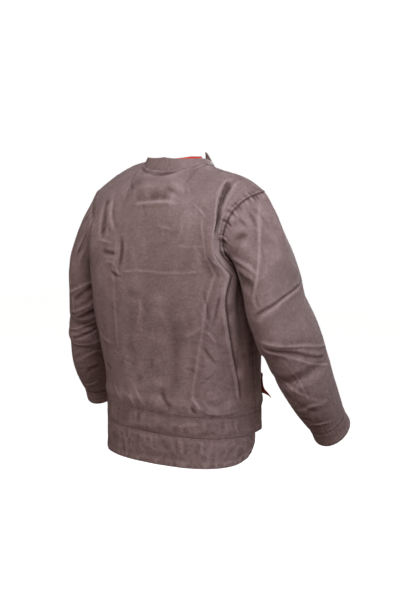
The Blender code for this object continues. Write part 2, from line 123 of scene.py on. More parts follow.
# Fineness of the meshes: how many rows and columns they have, and how much shorter their steps are
# beside a seam, over how many steps. NEAR is a small step for reading slopes, HALVINGS how often a
# search halves its span.
NECK_COLUMNS = 22
SIDE_COLUMNS = 74
YOKE_ROWS = 96
BODY_ROWS = 110
CAP_ROWS = 40
ARM_ROWS = 158
BAND_ROWS = 18
TAIL_ROWS = 28
CUFF_ROWS = 16
COLLAR_ROWS = 14
PLACKET_COLUMNS = 20
FLAP_COLUMNS = 48
FLAP_ROWS = 24
CROWD = 0.62
CROWD_STEPS = 9
NEAR = 0.01
HALVINGS = 30

# Seams: how far the upper edge stands out and the lower one sinks, how wide the shade painted
# beside them is, which stands in for the shadow in the groove of a seam, the rows of stitches and the
# shade painted along them, the puckers, which are calmer below the armholes, and the doubled hems.
# RELIEF: how many cells round it a place is compared with, and its bounds.
SEAM_RAISE = 0.0010
SEAM_SINK = 0.0010
SEAM_WIDTH = 0.013
SEAM_SHADE_WIDTH = 0.0055
SEAM_SHADE_UNDER_WIDTH = 0.0045
STITCH_ROWS = (0.0028, 0.0092)
EDGE_STITCH = 0.004
STITCH_GROOVE = 0.0005
STITCH_GROOVE_WIDTH = 0.0016
PUCKER = 0.0020
PUCKER_SIZE = 0.0075
PUCKER_FROM_SEAM = 0.006
PUCKER_WIDTH = 0.015
PUCKER_FROM_UNDERARM = 0.03
PUCKER_CALM = 0.22
EDGE_FADE = 0.016
HEM_WIDTH = 0.016
HEM_STEP = 0.0007
HEM_STEP_WIDTH = 0.0030
ROW_SHADE = 0.45
RELIEF_REACH = 4
RELIEF_DEEP = 0.0014
RELIEF_HIGH = 0.0007

# Stitches: their size, how near the collar they come, within how many rows of an edge they are
# looked for, and how much of a stitch is straight and stands proud of the cloth
STITCH_LENGTH = 0.0030
STITCH_PITCH = 0.0042
STITCH_THICK = 0.0007
STITCH_SIDES = 5
STITCH_FROM_COLLAR = 0.018
STITCH_LOOK = 40
STITCH_STRAIGHT = 0.6
STITCH_PROUD = 0.15

# Small wrinkles: the size of their lumps and how far they stand out
SWELL_SIZE = (0.075, 0.075, 0.140)
SWELL_LIFT = 0.0018
RUMPLE_SIZE = (0.034, 0.034, 0.050)
RUMPLE_LIFT = 0.0008
WRINKLE_SIZE = (0.034, 0.034, 0.026)
WRINKLE_LIFT = 0.0004
WRINKLE_SHARP = 7
CRUMPLE_SIZE = (0.017, 0.017, 0.024)
CRUMPLE_LIFT = 0.0016
WARP_SIZE = 0.060
WARP_REACH = 0.022
PATCH_SIZE = 0.12

# Where in the noise each unevenness is read, so that no two are alike
WARP_SHIFTS = (3.1, 7.7, 12.3)
SWELL_SHIFT = 5.5
RUMPLE_SHIFT = 9.2
WRINKLE_SHIFT = 1.7
PATCH_SHIFT = 4.4
CRUMPLE_SHIFT = 6.1
WANDER_SHIFTS = (6.6, 8.8)
UNEVEN_SHIFT = 2.9
PUCKER_SHIFTS = (2.2, 5.1)

FULL_TURN = 360
HALF_TURN = 180
TINY = 1e-12
WELD_REACH = 1e-6
MILLIMETRES_PER_METRE = 1000

# Half the girth of the body, which turns t into metres
HALF_GIRTH = 0.33

# Sections of the body, from the underarm (0) down to the waistband (1): shares of its half width
# and of the depths of back and front, and how square its corners are. The tables down to the tucks
# are those of the solids, except the collar's stands; the pouch of WAIST_BLOUSE is flatter too.
Section = namedtuple("Section", "down half back front square")
BODY_SECTIONS = (
    Section(0.00, 1.00, 1.00, 1.00, 3.6),
    Section(0.15, 0.95, 1.00, 0.98, 3.9),
    Section(0.40, 0.95, 0.98, 0.96, 3.4),
    Section(0.70, 0.94, 0.98, 0.96, 2.8),
    Section(1.00, 0.95, 1.00, 1.00, 2.4),
)
# Rows of the yoke, from the underarm (0) up to the shoulder seam (1): how far the armhole is cut
# in, how far its edge bends back or forwards, how far the row leans to the neck, its squareness
Yoke = namedtuple("Yoke", "up inset bend lean square")
BACK_YOKE = (
    Yoke(0.00, 0.000, 0.00, 0.00, 3.6),
    Yoke(0.17, 0.110, 0.54, 0.00, 3.6),
    Yoke(0.34, 0.148, 0.64, 0.03, 3.4),
    Yoke(0.51, 0.145, 0.59, 0.10, 3.2),
    Yoke(0.68, 0.120, 0.48, 0.25, 3.0),
    Yoke(0.85, 0.070, 0.27, 0.55, 2.6),
    Yoke(1.00, 0.000, 0.00, 1.00, 2.2),
)
FRONT_YOKE = (
    Yoke(0.00, 0.000, 0.00, 0.00, 3.6),
    Yoke(0.17, 0.115, 0.48, -0.06, 3.4),
    Yoke(0.34, 0.170, 0.62, -0.08, 3.0),
    Yoke(0.51, 0.180, 0.60, -0.04, 2.8),
    Yoke(0.68, 0.155, 0.50, 0.10, 2.6),
    Yoke(0.85, 0.090, 0.30, 0.45, 2.4),
    Yoke(1.00, 0.000, 0.00, 1.00, 2.2),
)
# Sections of an arm: shares of its way outwards, forwards and down, of its half width and depth
Arm = namedtuple("Arm", "along out fore down wide deep")
ARM_SECTIONS = (
    Arm(0.00, 0.00, -0.154, 0.072, 0.98, 0.62),
    Arm(0.15, 0.10, -0.122, 0.225, 0.97, 0.645),
    Arm(0.38, 0.35, 0.088, 0.433, 0.92, 0.665),
    Arm(0.56, 0.51, 0.282, 0.593, 0.84, 0.64),
    Arm(0.76, 0.75, 0.546, 0.780, 0.73, 0.57),
    Arm(1.00, 1.00, 1.000, 1.000, 0.55, 0.46),
)
# How far in and forwards the left arm hangs compared with the right one
Shift = namedtuple("Shift", "along inwards fore")
LEFT_SHIFTS = (
    Shift(0.00, 0.50, 0.85),
    Shift(0.15, 1.00, 1.00),
    Shift(0.40, 0.90, 0.90),
    Shift(0.70, 0.20, 0.20),
    Shift(1.00, -0.35, -0.35),
)
# Shares of the collar's height, from the middle of the back (0) round to a front end (1)
Stand = namedtuple("Stand", "round left right")
COLLAR_STANDS = (
    Stand(0.00, 0.50, 0.50),
    Stand(0.25, 0.35, 0.34),
    Stand(0.50, 0.12, 0.20),
    Stand(0.62, 0.26, 0.21),
    Stand(0.75, 0.61, 0.32),
    Stand(0.88, 0.92, 0.84),
    Stand(0.94, 0.98, 1.13),
    Stand(1.00, 1.00, 1.18),
)
# Broad folds of the body from a top to a foot, and tucks of the sleeves round a place and a turn
Fold = namedtuple("Fold", "back top_t top foot_t foot width lift")
BODY_FOLDS = (
    Fold(True, -0.56, 0.55, -0.66, -0.80, 0.12, 0.007),
    Fold(True, -0.80, 0.40, -0.84, -0.70, 0.11, -0.012),
    Fold(True, 0.58, 0.45, 0.64, -0.75, 0.11, 0.006),
    Fold(True, 0.80, 0.35, 0.84, -0.60, 0.10, -0.010),
    Fold(False, -0.62, 0.40, -0.58, -0.80, 0.14, 0.006),
    Fold(False, 0.62, 0.40, 0.58, -0.80, 0.14, 0.006),
)
Tuck = namedtuple("Tuck", "side along turn spread width lift")
SLEEVE_TUCKS = (
    Tuck(-1, 0.30, 80, 110, 0.10, 0.006),
    Tuck(-1, 0.56, 60, 120, 0.07, -0.008),
    Tuck(-1, 0.70, 230, 80, 0.08, -0.010),
    Tuck(1, 0.34, 120, 110, 0.09, -0.008),
    Tuck(1, 0.52, 100, 120, 0.08, 0.006),
    Tuck(1, 0.70, 230, 80, 0.08, -0.010),
)

# Creases and folds. lift: how far one stands out, or in if negative, in millimetres; sharp: 1 for
# a pressed edge, 0 for a round fold; more, less: how far its slopes reach towards the side where
# the first number of its places is more or less, in millimetres, or the second number on a crease
# that lies across; places: points along it.
Crease = namedtuple("Crease", "lift sharp more less places")
MILLIMETRE = 0.001
HUNDREDTH = 0.01
# On the body a place is (t, level), in hundredths.
BACK_CREASES = (
    # the square of pressed lines on the back
    Crease(1.1, 1, 10, 10, ((27, 36), (26.1, 10), (27.2, -20), (28.3, -60))),
    Crease(1.5, 1, 12, 9, (
        (-49, 52), (-53.5, 26), (-52.5, 5), (-48.2, -16), (-44, -37), (-40, -60), (-36, -80),
        (-34.5, -93),
    )),
    Crease(1.2, 1, 12, 7, ((22, -1), (5, 1), (-20, 0.5), (-47, 3.5))),
    Crease(1, 1, 10, 7, ((-27, 22.5), (-42, 23), (-57, 26))),
    Crease(0.8, 1, 10, 7, ((-10, 37), (-22, 35.5), (-34, 36))),
    # the ridge between the shoulder blades, and the hollows above it
    Crease(2.2, 1, 20, 8, ((11.5, 54.5), (-3, 56.5), (-14, 57), (-26, 55.5))),
    Crease(-3, 0, 30, 18, ((13, 60), (-5, 63), (-20, 62))),
    Crease(-1.6, 0.3, 12, 12, ((27, 80), (18, 70), (12, 64))),
    Crease(-1.4, 0.3, 12, 10, ((-8, 76), (-16, 68), (-27, 62))),
    # the deep fold from the shoulder down beside the arm, and the edge that it leaves
    Crease(-21, 0.25, 7, 42, ((-62.5, 90), (-65, 78), (-67.5, 62), (-69.8, 48), (-69, 34), (-67.2, 16))),
    Crease(5, 0.7, 40, 9, (
        (-60, 84), (-64, 66), (-66.8, 50), (-66, 38), (-63.5, 10), (-61, -16), (-62.5, -35), (-66.1, -51),
        (-72, -75), (-75, -90),
    )),
    Crease(-10, 0.3, 8, 45, ((-67.5, 24), (-66, 6), (-63.6, -16), (-65.2, -36), (-69, -54), (-74, -74))),
    # pulls at the crossings of the pressed lines
    Crease(1.6, 0.8, 8, 5, ((-37, 60), (-46, 55.5), (-55, 49))),
    Crease(1.4, 0.8, 6, 6, ((-54.5, 23), (-51, 13), (-50, 6))),
    Crease(1.4, 0.8, 6, 6, ((-55, 22), (-58.5, 13), (-61, 5))),
    Crease(-1.6, 0.6, 6, 10, ((-58.5, -10), (-54.5, -24), (-50, -37))),
    Crease(-1.2, 0.6, 6, 8, ((-45, -6), (-48, -20), (-49, -33))),
    Crease(1.8, 0.8, 10, 6, ((-44, -36), (-50, -42), (-55, -50))),
    Crease(1.5, 0.7, 8, 6, ((-46, -33), (-37, -41), (-28, -44))),
    Crease(-1.8, 0.5, 10, 10, ((-42, -47), (-50, -58), (-57, -64))),
    # pulls on the left, where the square's corners lie
    Crease(2.2, 0.8, 10, 6, ((46, 27), (37, 23.5), (28, 21.5))),
    Crease(-2.6, 0.4, 12, 12, ((42, 17), (32, 14), (22, 13))),
    Crease(2, 0.8, 10, 6, ((38, 6), (30, 6.5), (20, 2))),
    Crease(-3, 0.5, 8, 8, ((30, 2), (24.5, -3), (19, -5))),
    Crease(-2.2, 0.4, 8, 10, ((22, 30), (20.5, 16), (21.5, 0))),
    Crease(1.8, 0.7, 8, 6, ((26, 6), (22, -2), (23, -9))),
    Crease(2.6, 0.3, 20, 12, ((40, 62), (33, 42), (28, 30))),
    Crease(-3, 0.2, 16, 20, ((50, 66), (42, 44), (40, 24))),
    # the left side of the back, beside the arm
    Crease(5, 0.5, 10, 30, ((72, 55), (70, 30), (66, 0), (65, -30), (69, -62))),
    Crease(-8, 0.1, 20, 14, ((82, 62), (80, 35), (77, 5), (78, -30))),
    Crease(1.8, 0.7, 14, 8, ((62, -40), (45, -52), (30, -56))),
    Crease(-2, 0.3, 16, 14, ((60, -62), (48, -72), (38, -76))),
    # soft folds down the middle of the back
    Crease(-2, 0, 40, 40, ((10, -10), (14, -45), (10, -85))),
    Crease(2, 0, 45, 45, ((-14, -12), (-10, -50), (-12, -86))),
    Crease(-1.6, 0, 30, 30, ((-28, -30), (-25, -60), (-24, -86))),
    # the knot of folds at the waistband, and the pouch over it
    Crease(4, 0.8, 8, 12, ((-33.5, -84), (-37.5, -90), (-43, -96.5))),
    Crease(-3, 0.6, 8, 8, ((-33.5, -90), (-36, -95), (-40, -99))),
    Crease(2.2, 0.8, 20, 6, ((-42, -96.5), (-52, -97.5), (-64, -97), (-76, -94))),
    Crease(-1.6, 0, 20, 16, ((-42, -88), (-52, -90), (-66, -89))),
    Crease(-1.6, 0.4, 12, 12, ((-10, -80), (-14, -90), (-22, -97))),
    Crease(1.6, 0.7, 10, 8, ((16, -82), (10, -90), (2, -97))),
    Crease(1.2, 0.7, 10, 8, ((40, -80), (34, -90), (24, -97))),
    # the base of the collar
    Crease(-4, 0.2, 16, 14, ((20, 95), (2, 92.5), (-14, 95))),
    Crease(1.2, 0.7, 8, 8, ((20, 92), (2, 88), (-12, 90))),
)
FRONT_CREASES = (
    # the fronts: pressed squares, pulls from the neck and the armholes, folds above the band
    Crease(1.3, 1, 10, 10, ((46, 50), (47, 0), (46, -50), (47, -94))),
    Crease(1.3, 1, 10, 10, ((-46, 50), (-45, 0), (-47, -50), (-46, -94))),
    Crease(1.2, 1, 12, 7, ((16, 2), (40, 0), (62, 3))),
    Crease(1.2, 1, 12, 7, ((-16, 0), (-40, 1), (-62, -2))),
    Crease(1, 1, 10, 7, ((16, -50), (40, -51), (66, -48))),
    Crease(1, 1, 10, 7, ((-16, -51), (-40, -49), (-66, -52))),
    Crease(-7, 0.1, 14, 20, ((66, 84), (72, 60), (78, 36), (80, 10))),
    Crease(-7, 0.1, 20, 14, ((-64, 86), (-71, 62), (-78, 38), (-81, 12))),
    Crease(3.6, 0.6, 10, 30, ((58, 78), (64, 52), (68, 20), (66, -20), (68, -60))),
    Crease(3.6, 0.6, 30, 10, ((-57, 80), (-63, 54), (-67, 16), (-65, -24), (-69, -62))),
    Crease(2.2, 0.5, 14, 20, ((24, 90), (32, 70), (36, 46), (35, 26))),
    Crease(2.2, 0.5, 20, 14, ((-25, 90), (-31, 72), (-37, 48), (-34, 24))),
    Crease(-2.4, 0.2, 14, 18, ((20, 72), (26, 50), (24, 30))),
    Crease(-2.4, 0.2, 18, 14, ((-19, 74), (-25, 50), (-26, 28))),
    Crease(1.8, 0.7, 12, 8, ((78, 4), (62, -10), (48, -16))),
    Crease(1.8, 0.7, 12, 8, ((-80, 6), (-64, -12), (-46, -14))),
    Crease(2.8, 0.5, 24, 8, ((22, -96), (45, -96.5), (74, -95))),
    Crease(2.8, 0.5, 24, 8, ((-20, -95.5), (-45, -96.5), (-76, -95))),
    Crease(-2.2, 0.2, 16, 16, ((30, -52), (34, -68), (30, -88))),
    Crease(-2.2, 0.2, 16, 16, ((-30, -54), (-27, -70), (-31, -88))),
)
# On a sleeve a place is (turn, along): turn in degrees from the outside of the arm towards its
# back, and along in hundredths from the first ring under the arm, -25 being the armhole's edge, to
# the cuff seam, which is the side that more means.
RIGHT_SLEEVE_CREASES = (
    # the right cap: a pressed line down the outside, gathers under the seam
    Crease(1.8, 1, 12, 16, (
        (12, -23.5), (24, -20), (36, -16.8), (57, -9.4), (72, -4.5), (86, 1), (93, 10),
    )),
    Crease(-3.6, 0.5, 10, 12, ((2, -24), (0, -20), (-3, -15), (-8, -9))),
    Crease(-2.2, 0.5, 7, 7, ((-8, -23.5), (-12, -19), (-16, -14))),
    Crease(1.6, 0.6, 8, 8, ((-3, -23.5), (-7, -19), (-11, -14))),
    Crease(-2.2, 0.7, 6, 10, ((100, -19.5), (78, -17.8), (55, -16.1))),
    Crease(1.6, 0.4, 12, 10, ((104, -16.5), (80, -15), (60, -13.5))),
    Crease(-1.8, 0.3, 10, 10, ((66, -23.5), (58, -20.5), (52, -18))),
    Crease(-2, 0.3, 10, 10, ((40, -23.6), (38, -20), (40, -16.5))),
    # the lip under the arm and the hollow below it
    Crease(5.6, 0.9, 6, 20, ((140, -19), (118, -13.5), (100, -10), (80, -6.5), (66, -4.5))),
    Crease(-7, 0.2, 22, 10, ((136, -10), (112, -6), (92, -3.5), (76, -1.5))),
    Crease(2, 0.5, 10, 10, ((104, 3), (92, 6), (84, 10))),
    # the slanting pressed line over the elbow
    Crease(-2.4, 1, 6, 8, ((100, 12.8), (76, 11.2), (50, 9), (10, 4), (-25, 0.6), (-50, -2))),
    Crease(2, 0.8, 20, 6, ((98, 14.5), (74, 12.9), (50, 10.7), (14, 5.8), (-20, 2.4))),
    # the tuck at the elbow
    Crease(3.4, 0.9, 7, 26, (
        (104, 23.5), (83, 26.5), (58, 31.5), (34, 36.5), (6, 42), (-20, 47.5), (-42, 50),
    )),
    Crease(-4, 0.5, 12, 9, ((100, 27), (72, 32.5), (44, 39.2), (10, 48.5), (-20, 55.5))),
    Crease(2.6, 1, 18, 6, ((112, 25), (84, 32), (50, 41.5), (14, 53), (-22, 63))),
    Crease(-3, 0.4, 10, 10, ((124, 22), (108, 27), (92, 33))),
    Crease(2.4, 0.6, 10, 10, ((128, 30), (108, 34), (88, 40))),
    # the forearm
    Crease(1.8, 0.6, 16, 10, ((118, 47), (84, 60), (46, 72), (10, 80))),
    Crease(-2.2, 0.2, 18, 18, ((112, 60), (80, 72), (44, 81))),
    Crease(2.2, 0.6, 14, 10, ((108, 76), (80, 75.5), (56, 74.5), (20, 79))),
    Crease(-2.4, 0.3, 12, 12, ((118, 84), (94, 83), (70, 86))),
    Crease(2.2, 0.7, 10, 8, ((112, 90), (84, 88.5), (54, 90), (24, 94))),
    Crease(1.2, 1, 10, 10, ((64, 46), (60, 60), (60, 74))),
    # the front and inner side of the right sleeve
    Crease(1.6, 1, 12, 12, ((-78, -10), (-84, 10), (-88, 30), (-92, 60), (-90, 90))),
    Crease(4.4, 0.5, 12, 24, ((-60, 36), (-96, 42), (-130, 44), (-160, 40))),
    Crease(-5.6, 0.3, 14, 12, ((-64, 43), (-98, 49), (-134, 50), (-164, 45))),
    Crease(3, 0.6, 18, 8, ((-70, 52), (-100, 57), (-134, 56), (-160, 52))),
    Crease(-3, 0.3, 12, 12, ((-50, -19), (-66, -14), (-82, -6))),
    Crease(2.8, 0.5, 14, 10, ((-66, -20), (-84, -13), (-104, -7), (-126, -4))),
    Crease(-3.6, 0.2, 16, 12, ((-80, -4), (-104, 0), (-132, 1))),
    Crease(2.6, 0.5, 12, 12, ((-150, 62), (180, 66), (150, 63))),
    Crease(-3.4, 0.3, 12, 12, ((-156, 69), (178, 73), (146, 70))),
)
LEFT_SLEEVE_CREASES = (
    # the cap, then the tucks of the bent elbow, the forearm, and the front and inner side
    Crease(1.6, 1, 12, 14, ((12, -23.5), (30, -17), (52, -9), (70, -2), (80, 10), (84, 24))),
    Crease(-3.4, 0.5, 10, 12, ((0, -23.5), (-4, -18), (-10, -12))),
    Crease(-2.2, 0.5, 8, 8, ((64, -23), (58, -20), (54, -17))),
    Crease(-5, 0.5, 10, 12, ((96, -21.5), (97, -16.8), (94, -12), (86, -8))),
    Crease(3.6, 0.5, 14, 10, ((118, -20), (114, -15), (106, -10), (98, -5))),
    Crease(4, 0.7, 8, 26, ((150, -3), (130, 1.9), (104, 6), (80, 9.7), (56, 11.5))),
    Crease(-5.6, 0.4, 14, 10, ((150, 2), (128, 6), (104, 10.5), (82, 14.5))),
    Crease(4, 0.7, 8, 22, ((152, 10), (132, 14.8), (110, 18), (87, 21.3), (60, 23.5))),
    Crease(-5.6, 0.4, 14, 10, ((152, 16), (130, 20), (108, 23.5), (84, 27))),
    Crease(3, 0.7, 10, 18, ((160, 22), (141, 26.4), (112, 34), (80, 42.5), (50, 46))),
    Crease(-3.6, 0.4, 12, 12, ((150, 34), (124, 42), (94, 49), (70, 52))),
    Crease(2.6, 0.6, 12, 12, ((156, 48), (128, 53), (97, 55.4), (66, 56))),
    Crease(2.4, 0.6, 12, 10, ((168, 66), (147, 60), (124, 63), (103, 67.7), (76, 70))),
    Crease(-2.8, 0.3, 12, 12, ((156, 72), (130, 74), (104, 77))),
    Crease(2.2, 0.7, 10, 8, ((140, 86), (108, 89), (74, 90))),
    Crease(4.6, 0.6, 10, 26, ((40, 40), (10, 44), (-24, 46), (-60, 44))),
    Crease(-5.8, 0.4, 14, 10, ((40, 47), (8, 51), (-26, 53), (-62, 50))),
    Crease(3, 0.7, 20, 8, ((44, 55), (8, 60), (-28, 62), (-60, 58))),
    Crease(-2.6, 0.7, 10, 12, ((46, 14), (12, 10), (-24, 5), (-50, 2))),
    Crease(2, 0.6, 14, 12, ((30, 80), (-2, 76), (-36, 78), (-70, 82))),
    Crease(1.6, 1, 12, 12, ((-78, -10), (-84, 10), (-90, 30), (-90, 60), (-92, 90))),
    Crease(4, 0.5, 12, 22, ((-84, 38), (-110, 41), (-140, 42), (-168, 38))),
    Crease(-5, 0.3, 14, 12, ((-84, 45), (-112, 48), (-142, 48), (-168, 43))),
    Crease(-3, 0.3, 12, 12, ((-50, -19), (-66, -14), (-80, -6))),
    Crease(2.8, 0.5, 14, 10, ((-68, -20), (-86, -13), (-106, -7), (-130, -4))),
    Crease(-3.6, 0.2, 16, 12, ((-82, -4), (-106, 0), (-134, 1))),
)

# How far creases wander and how unevenly they stand out; over what length their ends fade; how
# many points lie between two places; and how steep a pressed edge is
WANDER = 0.0011
UNEVEN = 0.45
UNEVEN_SIZE = 0.030
CREASE_END = 0.030
WAY_STEPS = 5
CREASE_POWER = 4

# Short faint creases strewn over the cloth: how many on the back, a front and a sleeve, how far
# they lean from upright in radians, how long they are in metres, and how far they lift and reach
# in millimetres
BACK_CRINKLES = 95
FRONT_CRINKLES = 45
SLEEVE_CRINKLES = 70
CRINKLE_TILT = 0.75
CRINKLE_LENGTHS = (0.025, 0.085)
CRINKLE_BEND = 0.10
CRINKLE_LIFTS = (0.3, 1.2)
CRINKLE_REACHES = (5, 12)
BODY_SEED = 21
SLEEVE_SEED = 30


def lerp(a, b, share):
    return a + (b - a) * share


def smooth(share):
    share = np.clip(share, 0.0, 1.0)
    return share * share * (3.0 - 2.0 * share)


def bump(distance):
    """1 in the middle, falling smoothly to 0 at a distance of 1."""
    return 1.0 - smooth(np.abs(distance))


def hermite(a, slope_a, b, slope_b, s):
    """A point s of the way along a curve from a to b, with these slopes at its ends."""
    return (
        (2 * s**3 - 3 * s**2 + 1) * a
        + (s**3 - 2 * s**2 + s) * slope_a
        + (3 * s**2 - 2 * s**3) * b
        + (s**3 - s**2) * slope_b
    )


def between(table, at):
    """The table's columns at places along its first column, on smooth curves through its rows."""
    rows = np.array(table, float)
    last = len(rows) - 1
    at = np.asarray(at, float)
    k = np.searchsorted(rows[1:last, 0], at)
    before, a = rows[np.maximum(k - 1, 0)], rows[k]
    b, after = rows[k + 1], rows[np.minimum(k + 2, last)]
    span = b[..., :1] - a[..., :1]
    slope_a = (b - before) / (b[..., :1] - before[..., :1]) * span
    slope_b = (after - a) / (after[..., :1] - a[..., :1]) * span
    share = (at[..., None] - a[..., :1]) / span
    values = hermite(a, slope_a, b, slope_b, share)
    return type(table[0])(*np.moveaxis(values, -1, 0))


def stacked(x, y, z):
    return np.stack(np.broadcast_arrays(x, y, z), axis=-1)


def unit(vectors):
    return vectors / np.maximum(np.linalg.norm(vectors, axis=-1, keepdims=True), TINY)


def boxy(t, square):
    """Points on a quarter of a rounded box of half sizes 1, t of the way round: (across, along)."""
    s, c = np.sin(t * math.pi / 2), np.maximum(np.cos(t * math.pi / 2), 0)
    reach = (s**square + c**square) ** (-1 / square)
    return s * reach, c * reach


def neck_edge(back, t):
    """The top edge of the body: the neck opening, then the shoulder seam."""
    angle = np.minimum(t / NECK_T, 1) * math.pi / 2
    depth, drop = (NECK_BACK, NECK_BACK_DROP) if back else (-NECK_FRONT, NECK_FRONT_DROP)
    along = np.maximum(np.cos(angle), 0)
    neck = stacked(NECK_HALF * np.sin(angle), depth * along, -drop * along**NECK_SCOOP)
    out = (t - NECK_T) / (1 - NECK_T)
    fall = SHOULDER_DROP * lerp(out, out**3, SHOULDER_SAG)
    shoulder = stacked(lerp(NECK_HALF, SHOULDER_HALF, out), SHOULDER_BACK * out, -fall)
    return np.where((t < NECK_T)[..., None], neck, shoulder)


def yoke_row(back, t, up):
    """Points of a yoke row, from the middle of the row to the armhole, before the neck is cut."""
    row = between(BACK_YOKE if back else FRONT_YOKE, up)
    depth, neck = (BACK_DEPTH, NECK_BACK) if back else (-FRONT_DEPTH, -NECK_FRONT)
    neck_drop = NECK_BACK_DROP if back else NECK_FRONT_DROP
    end_x = lerp(CHEST_HALF, SHOULDER_HALF, up) - row.inset * SHOULDER_HALF
    end_y = row.bend * depth + SHOULDER_BACK * up
    across, along = boxy(t, row.square)
    rise = 1 - (1 - up) ** SHOULDER_ROUND
    middle_drop = lerp(UNDERARM_DROP, neck_drop, rise)
    end_drop = lerp(UNDERARM_DROP, SHOULDER_DROP, rise)
    return stacked(
        end_x * across,
        lerp(end_y, lerp(depth, neck, row.lean), along),
        -lerp(middle_drop, end_drop, across**YOKE_SAG),
    )


def body_face(back, t, level):
    """The body without its folds, on one side."""
    down = np.clip(-level, 0, 1)
    row = between(BODY_SECTIONS, down)
    across, along = boxy(t, row.square)
    depth = BACK_DEPTH * row.back if back else -FRONT_DEPTH * row.front
    drop = lerp(UNDERARM_DROP, BODY_LENGTH, down)
    lower = stacked(CHEST_HALF * row.half * across, depth * along - BODY_LEAN * smooth(down), -drop)
    up = np.clip(level, 0, 1)
    cut = neck_edge(back, t) - yoke_row(back, t, np.ones_like(up))
    share = smooth((up - NECK_LEVEL) / (1 - NECK_LEVEL))[..., None]
    upper = yoke_row(back, t, up) + cut * share
    return np.where((level > 0)[..., None], upper, lower)


def body_points(back, t, level):
    """Points of the body's outer face, negative t being on the right."""
    t, level = np.broadcast_arrays(np.asarray(t, float), np.asarray(level, float))
    points = body_face(back, np.abs(t), level)
    points = points * stacked(np.where(t < 0, -1.0, 1.0), 1.0, 1.0)
    tilt = bump((np.abs(t) - SHOULDER_TILT_AT) / SHOULDER_TILT_SPAN)
    tilt = tilt * smooth((level - NECK_LEVEL) / (1 - NECK_LEVEL))
    rise = np.where(t < 0, -RIGHT_SHOULDER_DROP, LEFT_SHOULDER_RISE)
    points = points + stacked(0.0, 0.0, rise * tilt)
    lift = WAIST_BLOUSE * bump((level - BLOUSE_LEVEL) / BLOUSE_SPAN)
    for fold in BODY_FOLDS:
        if fold.back == back:
            share = np.clip((fold.top - level) / (fold.top - fold.foot), 0, 1)
            middle = lerp(fold.top_t, fold.foot_t, share)
            taper = np.sqrt(np.maximum(np.sin(math.pi * share), 0))
            lift = lift + fold.lift * bump((t - middle) / fold.width) * taper
    lean = BODY_LEAN * smooth(-level)
    away = stacked(points[..., 0] / CHEST_HALF**2, (points[..., 1] + lean) / BACK_DEPTH**2, 0.0)
    return points + unit(away) * lift[..., None]


def tail_height(t):
    """The tail's height below the band; it hangs a little lower on the left."""
    round_end = np.sqrt(np.maximum(1 - np.abs(t) ** TAIL_CORNER, 0))
    return lerp(TAIL_SIDE_HEIGHT, TAIL_HEIGHT, round_end) + TAIL_LEFT_DROP * t


def arm_centre(side, along):
    """The arm's middle line, the left arm hanging closer in and further forwards."""
    row, shift = between(ARM_SECTIONS, along), between(LEFT_SHIFTS, along)
    inwards = shift.inwards * SLEEVE_LEFT_IN if side > 0 else 0.0
    forwards = shift.fore * SLEEVE_LEFT_FORE if side > 0 else 0.0
    inner_side = CHEST_HALF + SLEEVE_CLEAR + row.out * SLEEVE_SPREAD
    return stacked(
        side * (inner_side + row.deep * SLEEVE_HALF - inwards),
        -row.fore * SLEEVE_REACH - forwards,
        -lerp(UNDERARM_DROP, SLEEVE_DROP, row.down),
    )


def arm_points(side, along, turn, further=0.0):
    """Points round the arm, moved further along it, and its direction. turn: the angle from its
    outside towards its back."""
    along, turn = np.broadcast_arrays(np.asarray(along, float), np.asarray(turn, float))
    row = between(ARM_SECTIONS, along)
    low, high = np.maximum(along - NEAR, 0), np.minimum(along + NEAR, 1)
    down_arm = unit(arm_centre(side, high) - arm_centre(side, low))
    outwards = np.array((side, 0.0, 0.0))
    outwards = unit(outwards - down_arm * (down_arm * outwards).sum(-1, keepdims=True))
    back = np.cross(outwards, down_arm) * side
    lift = 0.0
    for tuck in SLEEVE_TUCKS:
        if tuck.side == side:
            off = (np.degrees(turn) - tuck.turn + HALF_TURN) % FULL_TURN - HALF_TURN
            lift = lift + tuck.lift * bump(off / tuck.spread) * bump((along - tuck.along) / tuck.width)
    deep = (SLEEVE_HALF * row.deep + lift) * np.cos(turn)
    wide = (SLEEVE_HALF * row.wide + lift) * np.sin(turn)
    further = np.asarray(further, float)[..., None]
    centre = arm_centre(side, along)
    return centre + outwards * deep[..., None] + back * wide[..., None] + down_arm * further, down_arm


def crowded(count, start=False, end=False):
    """Shares from 0 to 1 in count steps, which are shorter beside a seam."""
    k = np.arange(count) + 0.5
    steps = np.ones(count)
    if start:
        steps -= CROWD * bump(k / CROWD_STEPS)
    if end:
        steps -= CROWD * bump((count - k) / CROWD_STEPS)
    return np.concatenate(([0.0], np.cumsum(steps) / steps.sum()))


def half_columns():
    """Places t from the middle to the side, with a column at the neck point."""
    neck = NECK_T * np.linspace(0, 1, NECK_COLUMNS + 1)
    side = NECK_T + (1 - NECK_T) * crowded(SIDE_COLUMNS, end=True)
    return np.concatenate((neck, side[1:]))


def columns(side_from, side_to):
    """Places t of the columns; the sides are -1 for the right, 0 for the middle, 1 for the left."""
    half = half_columns()
    right = half if side_to > 0 else half[:1]
    return np.concatenate((-half[:0:-1], right)) if side_from < 0 else right


def yoke_levels():
    return crowded(YOKE_ROWS, end=True)


def body_levels():
    return np.concatenate((-1 + crowded(BODY_ROWS, start=True)[:-1], yoke_levels()))


def ring_turns():
    """Angles round a sleeve whose columns meet the rows of the yoke."""
    turn = math.pi * (1 - yoke_levels()[::-1])
    return np.concatenate((turn, 2 * math.pi - turn[::-1][1:]))


# Noise that is the same at the same place, so that neighbours match along their seams
LATTICE_SIZE = 32
LATTICE_SEED = 11
LATTICE = np.random.default_rng(LATTICE_SEED).uniform(-1, 1, (LATTICE_SIZE,) * 3)


